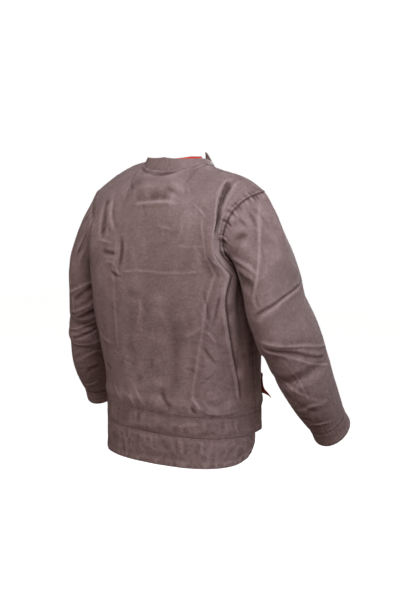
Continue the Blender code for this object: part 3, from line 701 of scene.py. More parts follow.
def noise(points, size, shift=0.0):
    """Smooth lumps of about this size, from -1 to 1."""
    place = points / np.asarray(size) + shift
    cell = np.floor(place).astype(int)
    part = place - cell
    part = part * part * (3 - 2 * part)
    total = 0.0
    for corner in product((0, 1), repeat=3):
        near = (cell + corner) % LATTICE_SIZE
        share = np.where(np.array(corner) > 0, part, 1 - part).prod(axis=-1)
        total = total + LATTICE[near[..., 0], near[..., 1], near[..., 2]] * share
    return total


def wrinkles(points, crumple):
    """How far the small wrinkles of hanging cotton stand out at each place; crumple is 1 on cloth
    that its seams gather all over, such as the waistband."""
    warp = np.stack([noise(points, WARP_SIZE, shift) for shift in WARP_SHIFTS], axis=-1)
    moved = points + warp * WARP_REACH
    swell = noise(points, SWELL_SIZE) + noise(points, np.array(SWELL_SIZE) / 2, SWELL_SHIFT) / 2
    rumple = noise(moved, RUMPLE_SIZE, RUMPLE_SHIFT)
    ridge = (1 - np.abs(noise(moved, WRINKLE_SIZE, WRINKLE_SHIFT))) ** WRINKLE_SHARP
    patch = smooth(0.5 + noise(points, PATCH_SIZE, PATCH_SHIFT))
    crumples = (1 - np.abs(noise(moved, CRUMPLE_SIZE, CRUMPLE_SHIFT))) ** 2
    gathers = CRUMPLE_LIFT * crumples * crumple
    return SWELL_LIFT * swell + RUMPLE_LIFT * rumple + WRINKLE_LIFT * ridge * patch + gathers


# A place (u, v) at a length along a crease
Way = namedtuple("Way", "along u v")


def smooth_way(places):
    """Points along a smooth curve through places (u, v)."""
    steps = np.linalg.norm(np.diff(places, axis=0), axis=-1)
    along = np.concatenate(([0.0], np.cumsum(steps)))
    table = [Way(at, u, v) for at, (u, v) in zip(along, places)]
    way = between(table, np.linspace(0, along[-1], WAY_STEPS * len(steps) + 1))
    return np.stack((way.u, way.v), axis=-1)


def crease_lift(u, v, places, crease):
    """How far one crease, which runs through places in metres, lifts each place (u, v)."""
    way = smooth_way(np.array(places))
    run = way[-1] - way[0]
    upright = abs(run[1]) > abs(run[0])
    turned = math.copysign(1, -run[1] if upright else run[0])
    lengths = np.linalg.norm(np.diff(way, axis=0), axis=-1)
    before = np.concatenate(([0.0], np.cumsum(lengths)))
    nearest = np.full(u.shape, np.inf)
    reach = np.full(u.shape, float(crease.more))
    covered = np.zeros(u.shape)
    for k, length in enumerate(lengths):
        du, dv = (way[k + 1] - way[k]) / length
        from_u, from_v = u - way[k, 0], v - way[k, 1]
        share = np.clip(from_u * du + from_v * dv, 0, length)
        off = np.hypot(from_u - share * du, from_v - share * dv)
        side = turned * (du * from_v - dv * from_u)
        closer = off < nearest
        nearest = np.where(closer, off, nearest)
        reach = np.where(closer, np.where(side > 0, crease.more, crease.less), reach)
        covered = np.where(closer, before[k] + share, covered)
    total = before[-1]
    off = np.minimum(nearest / (reach * MILLIMETRE), 1)
    slope = lerp(bump(off), (1 - off) ** CREASE_POWER, crease.sharp)
    end = smooth(np.minimum(covered, total - covered) / min(CREASE_END, total / 2))
    return crease.lift * MILLIMETRE * slope * end


def strewn_creases(count, u, v, seed):
    """Short faint creases at uneven places of a piece that covers the places (u, v). Their own
    places are held beside them, in metres."""
    low, high = (u.min(), v.min()), (u.max(), v.max())
    dice = np.random.default_rng(seed)
    strewn = []
    for _ in range(count):
        start = dice.uniform(low, high)
        tilt = dice.normal(0, CRINKLE_TILT)
        run = dice.uniform(*CRINKLE_LENGTHS) * np.array((math.sin(tilt), -math.cos(tilt)))
        aside = run[::-1] * np.array((1, -1)) * dice.normal(0, CRINKLE_BEND)
        lift = dice.choice((-1, 1)) * dice.uniform(*CRINKLE_LIFTS)
        more, less = dice.uniform(*CRINKLE_REACHES, 2)
        places = (start, start + run / 2 + aside, start + run)
        strewn.append((places, Crease(lift, 1.0, more, less, None)))
    return strewn


def creased(u, v, points, creases):
    """All creases of a piece together, each slightly uneven along its way."""
    aside_u, aside_v = [WANDER * noise(points, UNEVEN_SIZE, shift) for shift in WANDER_SHIFTS]
    total = sum(crease_lift(u + aside_u, v + aside_v, places, crease) for places, crease in creases)
    return total * (1 + UNEVEN * noise(points, UNEVEN_SIZE, UNEVEN_SHIFT))


def paths(points, axis):
    """Lengths along the rows or columns of a grid, from its start and from its end."""
    steps = np.linalg.norm(np.diff(points, axis=axis), axis=-1)
    start = np.concatenate((np.zeros_like(np.take(steps, [0], axis)), np.cumsum(steps, axis)), axis)
    return start, np.take(start, [-1], axis) - start


def grid_normals(points, ring, turn):
    """Outward normals of a grid. turn: 1 if its columns run to the right, seen from outside with
    its rows running up, and -1 if to the left."""
    if ring:
        wide = np.concatenate((points[:, -2:-1], points, points[:, 1:2]), axis=1)
        across = wide[:, 2:] - wide[:, :-2]
    else:
        across = np.gradient(points, axis=1)
    return unit(np.cross(across, np.gradient(points, axis=0))) * turn


def blurred(values, reach):
    """The grid of values, averaged over its neighbours."""
    for axis in (0, 1):
        before = np.repeat(np.take(values, [0], axis), reach, axis)
        after = np.repeat(np.take(values, [-1], axis), reach + 1, axis)
        padded = np.concatenate((before, values, after), axis)
        sums = np.cumsum(padded, axis)
        low = np.take(sums, range(values.shape[axis]), axis)
        high = np.take(sums, range(2 * reach, 2 * reach + values.shape[axis]), axis)
        values = (high - low) / (2 * reach)
    return values


# How the edge of a piece lies: over its neighbour, under it, loose as a hem, or plain, and how
# plainly its seam shows
Edge = namedtuple("Edge", "kind strength")
OVER, UNDER = Edge("over", 1.0), Edge("under", 1.0)
OVER_SOFT, UNDER_SOFT = Edge("over", 0.5), Edge("under", 0.5)
OVER_FAINT, UNDER_FAINT = Edge("over", 0.25), Edge("under", 0.25)
HEM, PLAIN = Edge("hem", 1.0), Edge("plain", 0.0)


def seam_lift(distance, edge, gathers):
    """How far the cloth stands out beside one of its edges; gathers: the puckers along the seam."""
    grooves = sum(bump((distance - row) / STITCH_GROOVE_WIDTH) for row in STITCH_ROWS)
    pucker = PUCKER * gathers * bump((distance - PUCKER_FROM_SEAM) / PUCKER_WIDTH)
    if edge.kind == "over":
        raised = SEAM_RAISE * (1 - smooth(distance / SEAM_WIDTH))
        return (raised - STITCH_GROOVE * grooves + pucker) * edge.strength
    if edge.kind == "under":
        return (pucker - SEAM_SINK * bump(distance / SEAM_WIDTH)) * edge.strength
    if edge.kind == "hem":
        doubled = HEM_STEP * (1 - smooth((distance - HEM_WIDTH) / HEM_STEP_WIDTH))
        return doubled + pucker - STITCH_GROOVE * bump((distance - HEM_WIDTH) / STITCH_GROOVE_WIDTH)
    return 0.0 * distance


def seam_shade(distance, edge):
    """How much shade is painted on the cloth along one of its edges, from 0 to 1; it stands in for the
    shadow at the step of a seam, in its stitch rows and in a hem's stitched groove.
    """
    rows = sum(bump((distance - row) / STITCH_GROOVE_WIDTH) for row in STITCH_ROWS)
    if edge.kind == "over":
        return np.maximum(1 - smooth(distance / SEAM_SHADE_WIDTH), ROW_SHADE * rows) * edge.strength
    if edge.kind == "under":
        return (1 - smooth(distance / SEAM_SHADE_UNDER_WIDTH)) * edge.strength
    if edge.kind == "hem":
        return ROW_SHADE * bump((distance - HEM_WIDTH) / STITCH_GROOVE_WIDTH)
    return 0.0 * distance


def gathered(points, name):
    """Puckers that run away from one edge of a grid, the same on both sides of a seam; those of
    the armholes are deeper than those further down."""
    last = -1 if name in ("top", "end") else 0
    line = points[last] if name in ("foot", "top") else points[:, last]
    above = smooth((line[:, 2] + UNDERARM_DROP) / PUCKER_FROM_UNDERARM)
    wide, narrow = PUCKER_SHIFTS
    values = noise(line, PUCKER_SIZE, wide) + noise(line, PUCKER_SIZE / 2, narrow)
    values = values * lerp(PUCKER_CALM, 1.0, above)
    return values[None, :] if name in ("foot", "top") else values[:, None]


# How a piece has come through use: how much of the small wrinkles it has, how much it is crumpled by
# the seams that gather it, and how much shade is painted all over it, which darkens the crumpled
# waistband and tail as if they lay in shadow
WearAndShade = namedtuple("WearAndShade", "wrinkled crumple dull")
BODY_WEAR = WearAndShade(1.0, 0.0, 0.0)
# the waistband and the tail are painted darker all over, as shade
FRONT_BAND_WEAR_AND_SHADE = WearAndShade(0.7, 1.0, 0.15)
BACK_BAND_WEAR_AND_SHADE = WearAndShade(0.8, 1.0, 0.22)
TAIL_WEAR_AND_SHADE = WearAndShade(0.9, 0.7, 0.12)
CUFF_WEAR = WearAndShade(0.5, 0.0, 0.0)
FLAP_WEAR = WearAndShade(0.5, 0.0, 0.0)
PLACKET_WEAR = WearAndShade(0.4, 0.0, 0.0)
COLLAR_WEAR = WearAndShade(0.3, 0.0, 0.0)
FACING_WEAR = WearAndShade(0.0, 0.0, 0.0)

# A dressed grid: its points, its normals, how far each place stands out from those round it, how
# much shade is painted on it, and its distances from the foot, top, start and end
Cloth = namedtuple("Cloth", "points normals relief shade paths")


def dressed(points, turn, edges, wear, creases=0.0, ring=False):
    """A grid of the base shape with its seams, puckers, creases and wrinkles.

    turn: as for grid_normals; edges: how its foot, top, start and end lie; creases: how far they
    lift each place; ring: whether its start and end are joined."""
    foot, top = paths(points, 0)
    start, end = paths(points, 1)
    distances = dict(zip(("foot", "top", "start", "end"), (foot, top, start, end)))
    normals = grid_normals(points, ring, turn)
    lift = np.zeros(points.shape[:2])
    inner = np.ones(points.shape[:2])
    # shade painted over the whole of a crumpled piece, then along its edges, where shadow falls
    shade = np.full(points.shape[:2], wear.dull)
    for name, edge in edges.items():
        lift = lift + seam_lift(distances[name], edge, gathered(points, name))
        shade = np.maximum(shade, seam_shade(distances[name], edge))
        if edge.kind in ("over", "under"):
            inner = inner * smooth(distances[name] / EDGE_FADE)
    lift = lift + (wear.wrinkled * wrinkles(points, wear.crumple) + creases) * inner
    relief = np.clip(lift - blurred(lift, RELIEF_REACH), -RELIEF_DEEP, RELIEF_HIGH)
    return Cloth(points + normals * lift[..., None], normals, relief, shade, distances)


def deselect():
    for thing in bpy.context.selected_objects:
        thing.select_set(False)


def use(thing):
    deselect()
    thing.select_set(True)
    bpy.context.view_layer.objects.active = thing


def keep_modifiers(thing):
    use(thing)
    for modifier in list(thing.modifiers):
        bpy.ops.object.modifier_apply(modifier=modifier.name)


def lay_cloth(name, cloth, turn, material, ring=False, wall=CLOTH):
    """A piece of cloth: a flat grid whose points are moved to their places, given its wall."""
    rows, cols = cloth.points.shape[:2]
    deselect()
    bpy.ops.mesh.primitive_grid_add(x_subdivisions=cols - 1, y_subdivisions=rows - 1, size=1)
    thing = bpy.context.object
    thing.name = thing.data.name = name
    mesh = thing.data
    mesh.vertices.foreach_set("co", cloth.points.astype(np.float32).ravel())
    corners = np.empty(len(mesh.loops), np.int32)
    mesh.loops.foreach_get("vertex_index", corners)
    width, height = cloth.paths["start"], cloth.paths["foot"]
    middle = width.max() / 2
    along = np.stack((width - width[:, -1:] / 2 + middle, height), axis=-1).reshape(-1, 2)
    layer = mesh.uv_layers[0] if mesh.uv_layers else mesh.uv_layers.new()
    layer.name = "cloth"
    layer.data.foreach_set("uv", along[corners].astype(np.float32).ravel())
    # the relief, and the shade painted along the seams and over crumpled pieces, for the cotton to read
    for label, values in (("relief", cloth.relief * MILLIMETRES_PER_METRE), ("painted_shade_map", cloth.shade)):
        layer = mesh.attributes.new(label, "FLOAT", "POINT")
        layer.data.foreach_set("value", values.astype(np.float32).ravel())
    use(thing)
    bpy.ops.object.mode_set(mode="EDIT")
    bpy.ops.mesh.select_all(action="SELECT")
    if ring:
        bpy.ops.mesh.remove_doubles(threshold=WELD_REACH)
    if turn < 0:
        bpy.ops.mesh.flip_normals()
    bpy.ops.object.mode_set(mode="OBJECT")
    bpy.ops.object.shade_smooth()
    solidify = thing.modifiers.new("wall", "SOLIDIFY")
    solidify.thickness = wall
    solidify.offset = -1
    solidify.use_even_offset = False
    keep_modifiers(thing)
    thing.data.materials.clear()
    thing.data.materials.append(material)
    return thing


def body_cloth(back, side_from, side_to, edges):
    t, level = np.meshgrid(columns(side_from, side_to), body_levels())
    points = body_points(back, t, level)
    creases = []
    for crease in BACK_CREASES if back else FRONT_CREASES:
        at, height = np.array(crease.places).T * HUNDREDTH
        places = np.stack((at * HALF_GIRTH, body_points(back, at, height)[:, 2]), axis=-1)
        creases.append((places, crease))
    u, v = t * HALF_GIRTH, points[..., 2]
    count = BACK_CRINKLES if back else FRONT_CRINKLES
    creases += strewn_creases(count, u, v, BODY_SEED + side_to)
    return dressed(points, -1 if back else 1, edges, BODY_WEAR, creased(u, v, points, creases))


def lowered(points, drop):
    """The points of a grid, each lower by its own drop."""
    return points - stacked(0.0, 0.0, 1.0) * np.broadcast_to(drop, points.shape[:2])[..., None]


def band_drops():
    """How far the rows of the waistband lie below its upper seam."""
    return BAND_HEIGHT * (1 - crowded(BAND_ROWS, start=True, end=True))[:, None]


def band_points(back, side_from, side_to, below):
    """Points below the waistband seam; below holds their distances below it, row by row."""
    t = columns(side_from, side_to)
    points = body_points(back, t[None, :], np.full((len(below), 1), -1.0))
    return lowered(points, below)


def sleeve_points(side):
    """The cap from the armhole's edge to the first ring of the arm, then the arm: its points, and
    each one's place along the arm and turn round it."""
    turn = ring_turns()
    levels = yoke_levels()[::-1]
    edge_back = body_points(True, side, levels)
    edge_front = body_points(False, side, levels[::-1])
    edge = np.concatenate((edge_back, edge_front[1:]))
    first, down_arm = arm_points(side, 0.0, turn)
    out = lerp(UNDERARM_OUT, CAP_OUT, (1 + np.cos(turn)) / 2)
    reach = np.linalg.norm(first - edge, axis=-1, keepdims=True)
    start = stacked(side * out, 0.0, -np.sqrt(1 - out**2)) * reach
    share = crowded(CAP_ROWS, start=True)[:-1, None, None]
    cap = hermite(edge, start, first, down_arm * reach, share)
    along = crowded(ARM_ROWS, end=True)[:, None]
    arm = arm_points(side, along, turn[None, :])[0]
    places = np.concatenate((CAP_ALONG * (1 - share[..., 0]) + 0 * turn, along + 0 * turn))
    return np.concatenate((cap, arm)), places, np.broadcast_to(turn, places.shape)


def sleeve_cloth(side):
    """One cloth from the armhole to the cuff seam, joined under the arm."""
    points, along, turn = sleeve_points(side)
    length = SLEEVE_DROP - UNDERARM_DROP
    girth = 2 * math.pi * SLEEVE_HALF * SLEEVE_FILL
    creases = []
    for crease in LEFT_SLEEVE_CREASES if side > 0 else RIGHT_SLEEVE_CREASES:
        at, down = np.array(crease.places).T
        at = np.degrees(np.unwrap(np.radians(at)))
        for lap in (-FULL_TURN, 0, FULL_TURN):
            round_it = (at + lap) / FULL_TURN * girth
            places = np.stack((round_it, down * HUNDREDTH * length), axis=-1)
            creases.append((places, crease))
    u, v = turn / (2 * math.pi) * girth, along * length
    creases += strewn_creases(SLEEVE_CRINKLES, u, v, SLEEVE_SEED + side)
    lifts = creased(u, v, points, creases)
    return dressed(points, -side, {"foot": UNDER, "top": UNDER}, BODY_WEAR, lifts, ring=True)


def cuff_cloth(side):
    """A ring that carries the sleeve on in its last direction."""
    share = crowded(CUFF_ROWS, start=True)[:, None]
    points = arm_points(side, np.ones_like(share), ring_turns()[None, :], CUFF_LENGTH * share)[0]
    return dressed(points, -side, {"foot": OVER_SOFT, "top": HEM}, CUFF_WEAR, ring=True)


def collar_places():
    """Columns of the neck seam from the right front to the left one: their points, how far round
    from the back each is, and whether it is on the right."""
    quarter = NECK_T * np.linspace(0, 1, NECK_COLUMNS + 1)
    halves = []
    for side in (-1, 1):
        back, front = [body_points(is_back, side * quarter, 1.0) for is_back in (True, False)]
        halves.append(np.concatenate((back, front[::-1][1:])))
    around = np.concatenate((quarter / NECK_T / 2, 1 - quarter[::-1][1:] / NECK_T / 2))
    right, left = halves[0][::-1], halves[1][1:]
    is_right = np.concatenate((np.ones(len(right)), np.zeros(len(left))))
    return np.concatenate((right, left)), np.concatenate((around[::-1], around[1:])), is_right


def collar_points(ups):
    """Rows of the standing collar at these shares of its height."""
    seam, around, is_right = collar_places()
    stand = between(COLLAR_STANDS, around)
    height = COLLAR_HEIGHT * np.where(is_right, stand.right, stand.left)
    inwards = -unit(seam * np.array((1.0, 1.0, 0.0)))
    up = ups[:, None, None]
    return seam + stacked(0.0, 0.0, height) * up + inwards * COLLAR_LEAN * up


def place_at(x, level):
    """The front's place t at a distance x from the centre line."""
    low, high = np.zeros_like(level), np.ones_like(level)
    for _ in range(HALVINGS):
        middle = (low + high) / 2
        inside = body_face(False, middle, level)[..., 0] < x
        low, high = np.where(inside, middle, low), np.where(inside, high, middle)
    return low


def layered(t, level, lift):
    """Points on the front's outer face, lifted off it."""
    low, high = np.maximum(level - NEAR, -1.0), np.minimum(level + NEAR, 1.0)
    round_it = body_points(False, np.minimum(t + NEAR, 1), level)
    round_it = round_it - body_points(False, np.maximum(t - NEAR, -1), level)
    upwards = body_points(False, t, high) - body_points(False, t, low)
    away = unit(np.cross(round_it, upwards))
    return body_points(False, t, level) + away * np.asarray(lift)[..., None]


def placket_cloth():
    """The strip over the closed fronts, from below the collar to the foot of the waistband."""
    below = BAND_HEIGHT * (1 - crowded(BAND_ROWS, end=True))[:-1]
    levels = body_levels()
    levels = levels[levels < PLACKET_TOP]
    level = np.concatenate((np.full(len(below), -1.0), levels, [PLACKET_TOP]))
    drop = np.concatenate((below, np.zeros(len(levels) + 1)))
    edge = place_at(PLACKET_WIDTH / 2, level)
    share = -1 + 2 * crowded(PLACKET_COLUMNS, start=True, end=True)
    t = edge[:, None] * share[None, :]
    points = layered(t, np.broadcast_to(level[:, None], t.shape), LAYER_LIFT)
    edges = {"start": HEM, "end": HEM, "foot": HEM, "top": HEM}
    return dressed(lowered(points, drop[:, None]), 1, edges, PLACKET_WEAR)


def level_at(drop):
    """The level, below the underarm, at a distance down from the neck points."""
    return -(drop - UNDERARM_DROP) / (BODY_LENGTH - UNDERARM_DROP)


def flap_cloth(side):
    """The flap of a hip pocket, whose rear lower corner stands away from the body."""
    foot_drop = BODY_LENGTH - FLAP_ABOVE_BAND
    foot, top = level_at(foot_drop), level_at(foot_drop - FLAP_HEIGHT)
    rear = float(body_face(False, np.array(1.0), np.array(foot))[..., 0]) - FLAP_FROM_SIDE
    inner, outer = place_at(rear - FLAP_WIDTH, np.array(foot)), place_at(rear, np.array(foot))
    t = lerp(inner, outer, crowded(FLAP_COLUMNS, start=True, end=True))
    level = lerp(foot, top, crowded(FLAP_ROWS, start=True, end=True))
    t, level = np.meshgrid(t, level)
    down = (top - level) / (top - foot)
    flare = FLAP_FLARE * down**FLAP_CURL * smooth((t - inner) / (outer - inner))
    points = layered(side * t, level, LAYER_LIFT + flare)
    if side < 0:
        points = points[:, ::-1]
    edges = {"start": HEM, "end": HEM, "foot": HEM, "top": OVER}
    return dressed(points, 1, edges, FLAP_WEAR)


def facing_cloth():
    """The collar's facing: inside the collar, short of its edges and of its right front end."""
    ups = np.linspace(FACING_FROM, FACING_TO, COLLAR_ROWS + 1)
    points = collar_points(ups)
    keep = round(FACING_SHORT_RIGHT * NECK_COLUMNS * 2)
    inwards = unit(points * np.array((1.0, 1.0, 0.0)))
    points = points - inwards * (CLOTH + FACING_GAP)
    return dressed(points[:, keep:], -1, {}, FACING_WEAR)


def new_material(name):
    material = bpy.data.materials.new(name)
    material.use_nodes = True
    tree = material.node_tree
    return material, tree, tree.nodes["Principled BSDF"]


def preset(node, values):
    for label, value in values.items():
        node.inputs[label].default_value = value


def math_node(tree, operation, a, b=None, clamp=False):
    node = tree.nodes.new("ShaderNodeMath")
    node.operation = operation
    node.use_clamp = clamp
    for socket, value in zip(node.inputs, (a, b)):
        if value is None:
            continue
        if isinstance(value, (int, float)):
            socket.default_value = value
        else:
            tree.links.new(value, socket)
    return node.outputs[0]


Grain = namedtuple("Grain", "rate detail rough")


def noise_node(tree, grain):
    place = tree.nodes.new("ShaderNodeTexCoord").outputs["Object"]
    node = tree.nodes.new("ShaderNodeTexNoise")
    preset(node, {"Scale": grain.rate, "Detail": grain.detail, "Roughness": grain.rough})
    tree.links.new(place, node.inputs["Vector"])
    return node.outputs["Fac"]


def attribute_node(tree, name):
    node = tree.nodes.new("ShaderNodeAttribute")
    node.attribute_name = name
    return node.outputs["Fac"]


def ramp_node(tree, source, colours):
    """These colours at even steps over the source's values from 0 to 1."""
    ramp = tree.nodes.new("ShaderNodeValToRGB")
    stops = ramp.color_ramp.elements
    stops[0].color = (*colours[0], 1)
    stops[1].color = (*colours[-1], 1)
    for k, colour in enumerate(colours[1:-1], 1):
        stops.new(k / (len(colours) - 1)).color = (*colour, 1)
    tree.links.new(source, ramp.inputs["Fac"])
    return ramp.outputs["Color"]


# Colours: of cloth at its darkest, where shade is painted in its hollows, along its seams and over
# crumpled pieces; plain; and at its lightest where it stands out, with wear and a painted highlight;
# and of the thread
Dye = namedtuple("Dye", "dark plain worn")
TAUPE = Dye((0.086, 0.045, 0.038), (0.192, 0.124, 0.116), (0.315, 0.224, 0.216))
RED = Dye((0.33, 0.012, 0.006), (0.60, 0.030, 0.010), (0.80, 0.075, 0.030))
THREAD = (0.13, 0.088, 0.082)

# The weave: its pitch, how high it and the finer unevenness of the cloth stand, the grain of each
# unevenness, how much each changes the tone, and how rough and shiny the cloth is
NOISE_MEAN = 0.5
WEAVE_PITCH = 0.0011
WEAVE_HEIGHT = 0.00010
SLUB_HEIGHT = 0.00028
CRINKLE_HEIGHT = 0.0016
SLUB = Grain(480.0, 4.0, 0.7)
MOTTLE = Grain(120.0, 5.0, 0.65)
CLOUD = Grain(13.0, 3.0, 0.5)
MIDDLE_TONE = 0.5
SLUB_TONE = 0.80
MOTTLE_TONE = 0.70
CLOUD_TONE = 0.26
# how far the relief paints hollows darker, as shade, and ridges lighter, as wear and a painted highlight
RELIEF_TONE = 0.42
WEAVE_TONE = 0.05
# how far the shade painted along seams and stitch rows and over crumpled pieces darkens the cloth
PAINTED_SHADE_TONE = 0.55
ROUGH = 0.58
ROUGH_UNEVEN = 0.22
SHINE = 0.4
SHEEN = 0.06
SHEEN_ROUGH = 0.5
FUZZ = Grain(900.0, 3.0, 0.6)
THREAD_TONES = (0.6, 1.4)
THREAD_ROUGH = 0.7


def cotton(name, dye):
    """Washed cotton canvas: a plain weave, slubs, uneven dye, wear and a painted highlight on what stands
    out, and painted shade in its hollows, along its seams and over crumpled pieces.
    """
    material, tree, shader = new_material(name)
    uv = tree.nodes.new("ShaderNodeUVMap")
    uv.uv_map = "cloth"
    split = tree.nodes.new("ShaderNodeSeparateXYZ")
    tree.links.new(uv.outputs["UV"], split.inputs[0])
    rate = 2 * math.pi / WEAVE_PITCH
    warp = math_node(tree, "SINE", math_node(tree, "MULTIPLY", split.outputs["X"], rate))
    weft = math_node(tree, "SINE", math_node(tree, "MULTIPLY", split.outputs["Y"], rate))
    weave = math_node(tree, "MULTIPLY", warp, weft)
    relief, painted_shade_map = attribute_node(tree, "relief"), attribute_node(tree, "painted_shade_map")
    slub, mottle, cloud = [noise_node(tree, grain) for grain in (SLUB, MOTTLE, CLOUD)]
    tone = MIDDLE_TONE
    for source, share in ((slub, SLUB_TONE), (mottle, MOTTLE_TONE), (cloud, CLOUD_TONE)):
        uneven = math_node(tree, "MULTIPLY", math_node(tree, "SUBTRACT", source, NOISE_MEAN), share)
        tone = math_node(tree, "ADD", uneven, tone)
    # ridges lighter, as wear and a painted highlight, and hollows darker, as painted shade; and the
    # weave's pattern
    for source, share in ((relief, RELIEF_TONE), (weave, WEAVE_TONE)):
        tone = math_node(tree, "ADD", math_node(tree, "MULTIPLY", source, share), tone)
    # painted shade: darker along the seams, stitch rows and hems and over crumpled pieces, where shadow
    # falls
    painted_shade_tone = math_node(tree, "MULTIPLY", painted_shade_map, -PAINTED_SHADE_TONE)
    tone = math_node(tree, "ADD", painted_shade_tone, tone, clamp=True)
    tree.links.new(ramp_node(tree, tone, dye), shader.inputs["Base Color"])
    height = math_node(tree, "MULTIPLY", weave, WEAVE_HEIGHT)
    for source, size in ((slub, SLUB_HEIGHT), (mottle, CRINKLE_HEIGHT)):
        height = math_node(tree, "ADD", height, math_node(tree, "MULTIPLY", source, size))
    bumps = tree.nodes.new("ShaderNodeBump")
    preset(bumps, {"Distance": 1.0, "Strength": 1.0})
    tree.links.new(height, bumps.inputs["Height"])
    tree.links.new(bumps.outputs["Normal"], shader.inputs["Normal"])
    rough = math_node(tree, "ADD", math_node(tree, "MULTIPLY", mottle, ROUGH_UNEVEN), ROUGH)
    tree.links.new(rough, shader.inputs["Roughness"])
    preset(shader, {"Metallic": 0.0, "Specular IOR Level": SHINE})
    preset(shader, {"Sheen Weight": SHEEN, "Sheen Roughness": SHEEN_ROUGH})
    return material


def sewing_thread(name, colour):
    material, tree, shader = new_material(name)
    tones = [[value * tone for value in colour] for tone in THREAD_TONES]
    fuzz = ramp_node(tree, noise_node(tree, FUZZ), tones)
    tree.links.new(fuzz, shader.inputs["Base Color"])
    preset(shader, {"Roughness": THREAD_ROUGH})
    return material


def read(at, along, values):
    """Points or directions at distances along a line."""
    return np.stack([np.interp(at, along, values[:, axis]) for axis in range(3)], axis=-1)


def stitch_places(cloth, edge, distance):
    """Places along a row of stitches: points, directions and normals, a pitch apart."""
    points, normals, path = cloth.points, cloth.normals, cloth.paths[edge]
    if edge in ("start", "end"):
        points, normals, path = points.transpose(1, 0, 2), normals.transpose(1, 0, 2), path.T
    if edge in ("end", "top"):
        points, normals, path = points[::-1], normals[::-1], path[::-1]
    near = min(len(path), STITCH_LOOK)
    line, away = [], []
    for column in range(points.shape[1]):
        along = path[:near, column]
        line.append(read(distance, along, points[:near, column]))
        away.append(read(distance, along, normals[:near, column]))
    line, away = np.array(line), np.array(away)
    length = np.concatenate(([0.0], np.cumsum(np.linalg.norm(np.diff(line, axis=0), axis=-1))))
    at = np.arange(STITCH_PITCH / 2, length[-1] - STITCH_PITCH / 2, STITCH_PITCH)
    centre = read(at, length, line)
    ahead = read(at + STITCH_LENGTH / 2, length, line)
    return centre, unit(ahead - centre), unit(read(at, length, away))


def one_stitch():
    """A stitch: a short round thread whose ends go down into the cloth."""
    deselect()
    bpy.ops.mesh.primitive_cylinder_add(
        vertices=STITCH_SIDES, radius=STITCH_THICK / 2, depth=STITCH_LENGTH * STITCH_STRAIGHT,
        end_fill_type="TRIFAN", rotation=(0, math.pi / 2, 0),
    )
    bpy.ops.object.transform_apply(location=True, rotation=True, scale=True)
    stitch = bpy.context.object
    mesh = stitch.data
    # the middle of each end goes down into the cloth
    for vertex in mesh.vertices:
        if math.hypot(vertex.co.y, vertex.co.z) < STITCH_THICK / 10:
            vertex.co.x = math.copysign(STITCH_LENGTH / 2, vertex.co.x)
            vertex.co.z = -STITCH_THICK / 2
    points = np.array([vertex.co[:] for vertex in mesh.vertices])
    faces = [list(face.vertices) for face in mesh.polygons]
    bpy.data.objects.remove(stitch, do_unlink=True)
    return points, faces


def sew(name, rows, material):
    """All stitches of a group of seams as one mesh."""
    shape, faces = one_stitch()
    points, polygons = [], []
    for centre, ahead, up in rows:
        aside = np.cross(up, ahead)
        raised = shape[:, 2:] + STITCH_THICK * STITCH_PROUD
        spun = (
            centre[:, None] + ahead[:, None] * shape[:, :1]
            + aside[:, None] * shape[:, 1:2] + up[:, None] * raised
        )
        for stitch in spun:
            first = len(points)
            points.extend(stitch.tolist())
            polygons.extend([[first + k for k in face] for face in faces])
    mesh = bpy.data.meshes.new(name)
    mesh.from_pydata(points, [], polygons)
    thing = bpy.data.objects.new(name, mesh)
    bpy.context.collection.objects.link(thing)
    mesh.materials.append(material)
    use(thing)
    bpy.ops.object.shade_smooth()
    return thing


# Camera: it stands level, behind the jacket and to its right
CAMERA_PLACE = (-1.3524, 1.8607, -0.07)
CAMERA_AHEAD = (0.588, -0.809, 0.0)
LENS = 51.99
SENSOR = 36
SHIFT_X = 0.0374
SHIFT_Y = -0.1855


def add_camera():
    deselect()
    bpy.ops.object.camera_add(location=CAMERA_PLACE)
    camera = bpy.context.object
    camera.rotation_euler = Vector(CAMERA_AHEAD).to_track_quat("-Z", "Y").to_euler()
    camera.data.lens = LENS
    camera.data.sensor_width = SENSOR
    camera.data.sensor_fit = "VERTICAL"
    camera.data.sensor_height = SENSOR
    camera.data.shift_x = SHIFT_X
    camera.data.shift_y = SHIFT_Y
    camera.data.dof.use_dof = False
    bpy.context.scene.camera = camera


# Soft lamps, all aimed at the middle of the jacket: place, size, watts and colour
Lamp = namedtuple("Lamp", "name place size power colour")
MIDDLE = (0, 0, -0.3)
LAMPS = (
    Lamp("key", (-1.9, 0.9, 1.7), 1.3, 65, (0.74, 0.86, 1.0)),
    Lamp("behind", (-1.7, 1.75, 1.05), 1.3, 40, (1.0, 0.97, 0.96)),
    Lamp("behind_left", (0.9, 2.0, 0.7), 1.3, 20, (0.96, 0.97, 1.0)),
    Lamp("front", (0.4, -2.3, 0.9), 1.6, 60, (0.95, 0.97, 1.0)),
)


def add_lamps():
    for lamp in LAMPS:
        deselect()
        bpy.ops.object.light_add(type="AREA", location=lamp.place)
        light = bpy.context.object
        light.name = lamp.name
        ahead = Vector(MIDDLE) - Vector(lamp.place)
        light.rotation_euler = ahead.to_track_quat("-Z", "Y").to_euler()
        light.data.shape = "DISK"
        light.data.size = lamp.size
        light.data.energy = lamp.power
        light.data.color = lamp.colour


# The stage: a sheet of glowing white paper, and a faint warm light from all round
FLOOR_DROP = 1.45
STAGE_SIZE = 14.0
WHITE = (1, 1, 1, 1)
PAPER_GREY = (0.3, 0.3, 0.3, 1)
PAPER_ROUGH = 0.9
PAPER_GLOW = 0.95
SHADE_COLOUR = (1.0, 0.70, 0.60, 1)
SHADE_LIGHT = 0.16


